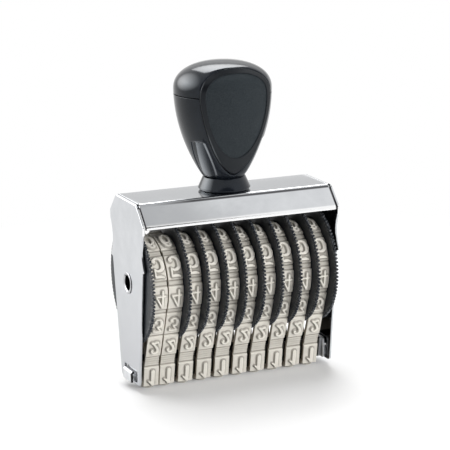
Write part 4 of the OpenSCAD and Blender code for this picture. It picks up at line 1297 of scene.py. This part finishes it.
def distance_to_loop(points, loop):
    """Distance from points (n,2) to a closed polyline, positive outside it: the smallest distance to any
    of its segments, worked out for CHUNK points at a time to save memory."""
    a, b = loop, np.roll(loop, -1, axis=0)
    along = b - a
    best = np.full(len(points), 1e9)
    for start in range(0, len(points), CHUNK):
        p = points[start:start + CHUNK, None, :]
        t = np.clip(((p - a) * along).sum(-1) / (along ** 2).sum(-1).clip(1e-9), 0, 1)
        best[start:start + CHUNK] = np.linalg.norm(p - a - t[..., None] * along, axis=-1).min(1)
    inside = np.abs(points[:, 0]) < plate_half_width(points[:, 1])
    return np.where(inside, -best, best)


plate_loop = outline_of_plate()


def face_depth(z):
    """Distance of the plate's field from the handle's axis at a height."""
    high = np.clip((z - Z_WIDE) / PLATE_UP, 0, 1)
    low = np.clip((Z_WIDE - z) / PLATE_DOWN, 0, 1)
    flattened = np.where(z >= Z_WIDE, (1 - high ** 8) ** 0.5, (1 - low) ** 0.75)
    return turned_radius(z) - PLATE_IN * flattened


def seat_radius(theta, z):
    """Radius of the seat behind a plate. On the ray at theta, y = r sin(theta) has to lie on the back of
    the plate, a circle about an axis PLATE_C behind the handle's own, which is a quadratic in r."""
    offset = PLATE_C + SEAT_GAP
    back = PLATE_C + face_depth(z) - PLATE_T
    s = np.abs(np.sin(theta))
    return np.sqrt(np.maximum((s * offset) ** 2 + back ** 2 - offset ** 2, 0)) - s * offset


def with_plate_seats(theta, z, radius):
    """The skin rolls in along the plates' outline, as a quarter circle of GROOVE_R, and is sunk to the seat
    under them."""
    x, y = radius * np.cos(theta), radius * np.sin(theta)
    d = distance_to_loop(np.stack([x.ravel(), z.ravel()], -1), plate_loop).reshape(x.shape)
    under = np.clip((GROOVE_R - d) / GROOVE_R, 0, 1)
    rolled = radius - GROOVE_R * (1 - np.sqrt(np.clip(1 - under ** 2, 0, 1)))
    sunk = smoothstep(-0.05, -0.45, d)
    seated = rolled + sunk * (np.minimum(seat_radius(theta, z), rolled) - rolled)
    return np.where(np.abs(y) > 3, seated, radius)


print("plate outline:", len(plate_loop), "points, %.1f mm high" % np.ptp(plate_loop[:, 1]))


# %% Handle body and cap
ROUND_STEPS = 432
BODY_ROWS, CAP_ROWS, DOME_ROWS = 190, 12, 110
SEAM_R, SEAM_DEEP, SEAM_HALF_GAP = 0.12, 0.8, 0.2


def turned_surface(z_rows, shape, edge_rows):
    """A turned shell with closed ends: the row at height z has the radius shape(theta, z) - its edge."""
    theta = np.linspace(0, 2 * np.pi, ROUND_STEPS, endpoint=False)[None, :]
    z = z_rows[:, None] + 0 * theta
    radius = shape(theta + 0 * z, z) - edge_rows[:, None]
    grid = np.stack([radius * np.cos(theta), radius * np.sin(theta), z], -1)
    return loft(grid, pointed=True)


def body_shape(theta, z):
    """Pear with scoops and the grooves round the plates."""
    return with_plate_seats(theta, z, scooped_radius(theta, z, turned_radius(z)))


def cap_shape(theta, z):
    """Dome with the grooves round the plates."""
    return with_plate_seats(theta, z, turned_radius(z))


seam_turn = np.linspace(0, np.pi / 2, 5)
body_top, cap_foot = Z_SEAM - SEAM_HALF_GAP, Z_SEAM + SEAM_HALF_GAP
body_rows = np.concatenate([[Z_NECK, Z_NECK + 0.06, Z_NECK + 0.2],
                            np.linspace(Z_NECK + 0.4, body_top - SEAM_R - 0.1, BODY_ROWS),
                            body_top - SEAM_R + SEAM_R * np.sin(seam_turn), [body_top]])
body_edge = np.concatenate([[0.2, 0.06, 0], np.zeros(BODY_ROWS), SEAM_R * (1 - np.cos(seam_turn)),
                            [SEAM_DEEP]])
dome_rows = Z_WIDE + DOME_H * np.sin(np.linspace(0, np.pi / 2, DOME_ROWS))
cap_rows = np.concatenate([[cap_foot], cap_foot + SEAM_R - SEAM_R * np.cos(seam_turn),
                           np.linspace(cap_foot + SEAM_R + 0.1, Z_WIDE - 0.05, CAP_ROWS), dome_rows[:-1],
                           [Z_DOME - 1e-4]])
cap_edge = np.concatenate([[SEAM_DEEP], SEAM_R * (1 - np.sin(seam_turn)), np.zeros(CAP_ROWS + DOME_ROWS)])

body_piece = write_mesh("handle_body_pear", *turned_surface(body_rows, body_shape, body_edge))
finish_piece(body_piece, "frame", handle_black, ["handle_body"], sharp=60)
cap_piece = write_mesh("handle_cap_dome", *turned_surface(cap_rows, cap_shape, cap_edge))
finish_piece(cap_piece, "frame", handle_black, ["handle_cap"], sharp=60)


# %% [markdown]
# ## Oval plates
# Each side of the handle has an egg-shaped insert with a raised border. Its mesh follows its own
# outline: rings shrink from the outer edge through the border and the step down to the field, and
# close in the middle, so that the border stays crisp. The rear plate is the same one turned round.

# %% Plates
STEP_UP = ((0.992, 0.03), (0.997, 0.10), (1.0, 0.2), (1.003, BORDER_H - 0.12), (1.01, BORDER_H - 0.03),
           (1.022, BORDER_H))
EDGE_DOWN = ((0.3, 0), (0.19, 0.02), (0.10, 0.07), (0.04, 0.15), (0.01, 0.23), (0.0, 0.32))


def on_face(loop, lift):
    """Points (x, z) put on the plate's curved face, lifted by lift: the face is turned about an axis
    that lies PLATE_C behind the handle's own."""
    x, z = loop[..., 0], loop[..., 1]
    y = PLATE_C - np.sqrt(np.maximum((PLATE_C + face_depth(z) + lift) ** 2 - x ** 2, 1))
    return np.stack([x, y, z], -1)


def plate_mesh():
    """Rings from the middle of the field out to the border, over its edge and back behind. STEP_UP lists
    the share of the inner outline and the lift of each ring of the step, EDGE_DOWN the inset and the drop
    of each ring of the outer edge, which is rounder towards the tip."""
    outer, inner = outline_of_plate(-SEAT_GAP), outline_of_plate(-BORDER_W, BORDER_TIP)
    middle = np.array([0.0, Z_WIDE - 6])
    rings = [on_face(middle + (inner - middle) * s, 0.0) for s in np.linspace(0.06, 0.985, 16)]
    field_rings = len(rings) + 2
    rings += [on_face(middle + (inner - middle) * s, lift) for s, lift in STEP_UP]
    last = middle + (inner - middle) * STEP_UP[-1][0]
    rings += [on_face(last + (outer - last) * s, BORDER_H) for s in np.linspace(0.1, 0.9, 7)]
    outwards = (outer - middle) / np.linalg.norm(outer - middle, axis=1, keepdims=True)
    rounder = 1 + 2.4 * smoothstep(0.3, 0.9, (Z_WIDE - outer[:, 1]) / PLATE_DOWN)
    rings += [on_face(outer - outwards * inset * rounder[:, None], BORDER_H - drop * rounder)
              for inset, drop in EDGE_DOWN]
    rings += [on_face(outer, lift) for lift in (-0.9, -PLATE_T)]
    rings += [on_face(middle + (outer - middle) * s, -PLATE_T) for s in np.linspace(0.9, 0.06, 8)]
    field = np.repeat(np.arange(len(rings)) < field_rings, len(outer))
    return loft(np.stack(rings), pointed=True), {"field": np.append(field, [True, False])}


(plate_points, plate_faces), plate_marks = plate_mesh()
for name, node, way in (("oval_plate_front", "front_plate", 1), ("oval_plate_rear", "rear_plate", -1)):
    plate_piece = write_mesh(name, plate_points * [way, way, 1], plate_faces, plate_marks)
    finish_piece(plate_piece, "frame", plate_black, [node], sharp=60)


# %% Collar
COLLAR_R = collar_high[0]
COLLAR_STEPS = 192


def revolve(profile):
    """A closed outline (radius, height) turned once round Z."""
    angle = np.linspace(0, 2 * np.pi, COLLAR_STEPS, endpoint=False)[:, None]
    r, h = np.asarray(profile, float).T
    grid = np.stack([r * np.cos(angle), r * np.sin(angle), h + 0 * angle], -1)
    return grid.reshape(-1, 3), [grid_faces(COLLAR_STEPS, len(r), True, True)]


collar_outline = [(6.2, Z_NECK - 0.1), (8.9, Z_NECK - 0.1), (NECK_R + 0.05, Z_NECK - 0.16),
                  (NECK_R + 0.2, Z_NECK - 0.3), (COLLAR_R - 0.12, Z_TOP + 1.45),
                  (COLLAR_R - 0.02, Z_TOP + 1.3), (COLLAR_R, Z_TOP + 1.15), (COLLAR_R - 0.05, Z_TOP + 1.0),
                  (COLLAR_R - 0.72, Z_TOP + 0.12), (COLLAR_R - 0.85, Z_TOP + 0.02), (3.0, Z_TOP + 0.02),
                  (3.0, Z_NECK - 3.0), (6.2, Z_NECK - 3.0)]
collar_piece = write_mesh("handle_collar_cone", *revolve(collar_outline))
finish_piece(collar_piece, "frame", handle_black, ["handle_collar"], sharp=30)


# %% [markdown]
# ## Hidden hardware
# The washers, the screw and the brass insert are simple turned parts. Their solids already have the
# right shape, so they only get their finishes.

# %% Finishes of the kept solids
kept_finishes = {"thrust_washer": washer_steel, "spring_washer": washer_steel, "handle_screw": screw_steel,
                 "screw_washer": screw_steel, "handle_insert": brass}
for node, finish in kept_finishes.items():
    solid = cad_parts[node]
    solid.data.materials.clear()
    solid.data.materials.append(finish)
    print(node, "keeps its solid")


# %% [markdown]
# ## Studio
# The stamp stands on a white table under soft boxes. Seen by the camera and by shiny surfaces, the table
# and the room are white; for matt surfaces they give a plain soft light. Chrome shows what stands round
# it, so most of the studio is there to be mirrored. The large box behind fades from one edge to the
# other. The box at the left fades from its middle and is only mirrored. The lamp above and the one in
# front only light matt surfaces, since their mirror images would be hard white spots. Grey cards, which
# only mirror-like surfaces see, put dark and middle tones beside the white.

# %% Floor and room
ROOM_LIGHT = 0.23
TABLE_GLOW = 0.12
TABLE_GREY = (0.67, 0.67, 0.67)
TABLE_FADE = (0.10, 0.32)
TABLE_SIZE = 12
WHITE = (1, 1, 1, 1)


def seen_directly(tree):
    """1 for rays from the camera, from mirror-like surfaces and through glass, else 0."""
    rays = add(tree, "ShaderNodeLightPath").outputs
    first = combine(tree, "MAXIMUM", rays["Is Camera Ray"], rays["Is Glossy Ray"])
    return combine(tree, "MAXIMUM", first, rays["Is Transmission Ray"])


def bare_material(name):
    """A new material without its Principled shader."""
    material = bpy.data.materials.new(name)
    material.use_nodes = True
    tree = material.node_tree
    tree.nodes.remove(tree.nodes["Principled BSDF"])
    return material, tree


def flat_sheet(name, width, height, material):
    """A rectangle in its own XY plane."""
    w, h = width / 2, height / 2
    mesh = bpy.data.meshes.new(name)
    mesh.from_pydata([(-w, -h, 0), (w, -h, 0), (w, h, 0), (-w, h, 0)], [], [(0, 1, 2, 3)])
    mesh.materials.append(material)
    return show(bpy.data.objects.new(name, mesh))


def table_material():
    """White paper that also glows a little for rays that see it directly, so that it reads white where no
    shadow falls. Far from the stamp the glow takes over: share = glow, rising to 1 with the distance."""
    material, tree = bare_material("table_white")
    where = add(tree, "ShaderNodeTexCoord").outputs["Object"]
    away = add(tree, "ShaderNodeVectorMath", {0: where}, operation="LENGTH")
    seen = seen_directly(tree)
    far = product(tree, seen, ramp(tree, away.outputs["Value"], *TABLE_FADE))
    paper = add(tree, "ShaderNodeBsdfDiffuse", {"Color": (*TABLE_GREY, 1)})
    weak = ramp(tree, seen, 0, 1, 0, TABLE_GLOW)
    glow = add(tree, "ShaderNodeEmission", {"Color": WHITE, "Strength": weak})
    white = add(tree, "ShaderNodeEmission", {"Color": WHITE, "Strength": 1.0})
    near = add(tree, "ShaderNodeAddShader", {0: paper.outputs[0], 1: glow.outputs[0]})
    both = add(tree, "ShaderNodeMixShader", {0: far, 1: near.outputs[0], 2: white.outputs[0]})
    tree.links.new(both.outputs[0], tree.nodes["Material Output"].inputs[0])
    return material


table = flat_sheet("table", TABLE_SIZE, TABLE_SIZE, table_material())

world = bpy.data.worlds.new("room")
world.use_nodes = True
bpy.context.scene.world = world
room = world.node_tree
background = room.nodes["Background"]
background.inputs["Color"].default_value = WHITE
room.links.new(ramp(room, seen_directly(room), 0, 1, ROOM_LIGHT, 1.0), background.inputs["Strength"])
print("table and room are set")


# %% Soft boxes and grey cards
LIGHTS_AIM = Vector((0, 0, 0.08))


def towards(turn_deg, rise_deg):
    """The direction from the stamp at a turn (0 is straight behind, 90 is right) and a rise."""
    t, r = math.radians(turn_deg), math.radians(rise_deg)
    return Vector((math.sin(t) * math.cos(r), math.cos(t) * math.cos(r), math.sin(r)))


def soften(lamp, bright, fade_end, faint):
    """Makes a lamp brightest at one point of its cloth: its strength fades to faint at fade_end from
    there, where 1 is the width of the cloth."""
    lamp.data.use_nodes = True
    tree = lamp.data.node_tree
    place = add(tree, "ShaderNodeNewGeometry").outputs["Parametric"]
    away = add(tree, "ShaderNodeVectorMath", {0: place, 1: (*bright, 0)}, operation="DISTANCE")
    fade = ramp(tree, away.outputs["Value"], 0.0, fade_end, 1.0, faint)
    tree.links.new(fade, tree.nodes["Emission"].inputs["Strength"])


def soft_box(name, turn_deg, rise_deg, distance, width, height, radiance):
    """An area light that looks at the stamp. Its energy is radiance * 4 * its area."""
    away = towards(turn_deg, rise_deg)
    data = bpy.data.lights.new(name, "AREA")
    data.shape = "RECTANGLE"
    data.size, data.size_y = width, height
    data.energy = radiance * 4 * width * height
    lamp = show(bpy.data.objects.new(name, data))
    lamp.location = LIGHTS_AIM + away * distance
    lamp.rotation_euler = (-away).to_track_quat("-Z", "Y").to_euler()
    return lamp


def grey_card(name, turn_deg, rise_deg, distance, width, height, tone):
    """A grey card that only mirror-like surfaces see, as photographers hang beside glossy things."""
    card_grey, tree = bare_material(name)
    plain = add(tree, "ShaderNodeEmission", {"Color": (tone, tone, tone, 1), "Strength": 1.0})
    tree.links.new(plain.outputs[0], tree.nodes["Material Output"].inputs[0])
    card = flat_sheet(name, width, height, card_grey)
    away = towards(turn_deg, rise_deg)
    card.location = LIGHTS_AIM + away * distance
    card.rotation_euler = away.to_track_quat("Z", "Y").to_euler()
    card.visible_camera = card.visible_diffuse = card.visible_shadow = False


box_behind = soft_box("box_behind", 20, 46, 1.5, 0.85, 0.78, 9.0)
soften(box_behind, (0.5, 1.0), 1.0, 0.25)
box_above = soft_box("box_above", -28, 72, 1.6, 1.2, 1.2, 4.2)
box_left = soft_box("box_left", -50, 28, 1.4, 2.2, 1.7, 7.5)
soften(box_left, (0.5, 0.5), 0.5, 0.0)
box_left.visible_diffuse = False
box_front = soft_box("box_front", 161, 19, 1.6, 0.8, 0.7, 11.6)
box_above.visible_glossy = box_front.visible_glossy = False
CARDS = (("card_front", 193, 25, 2.4, 3.2, 2.2, 0.03), ("card_flap", 169, 71.5, 1.16, 0.74, 0.5, 0.66),
         ("card_over", 56, 77, 1.12, 0.5, 0.5, 0.03), ("card_back", 34, 13, 1.5, 1.1, 0.22, 0.72))
for card in CARDS:
    grey_card(*card)
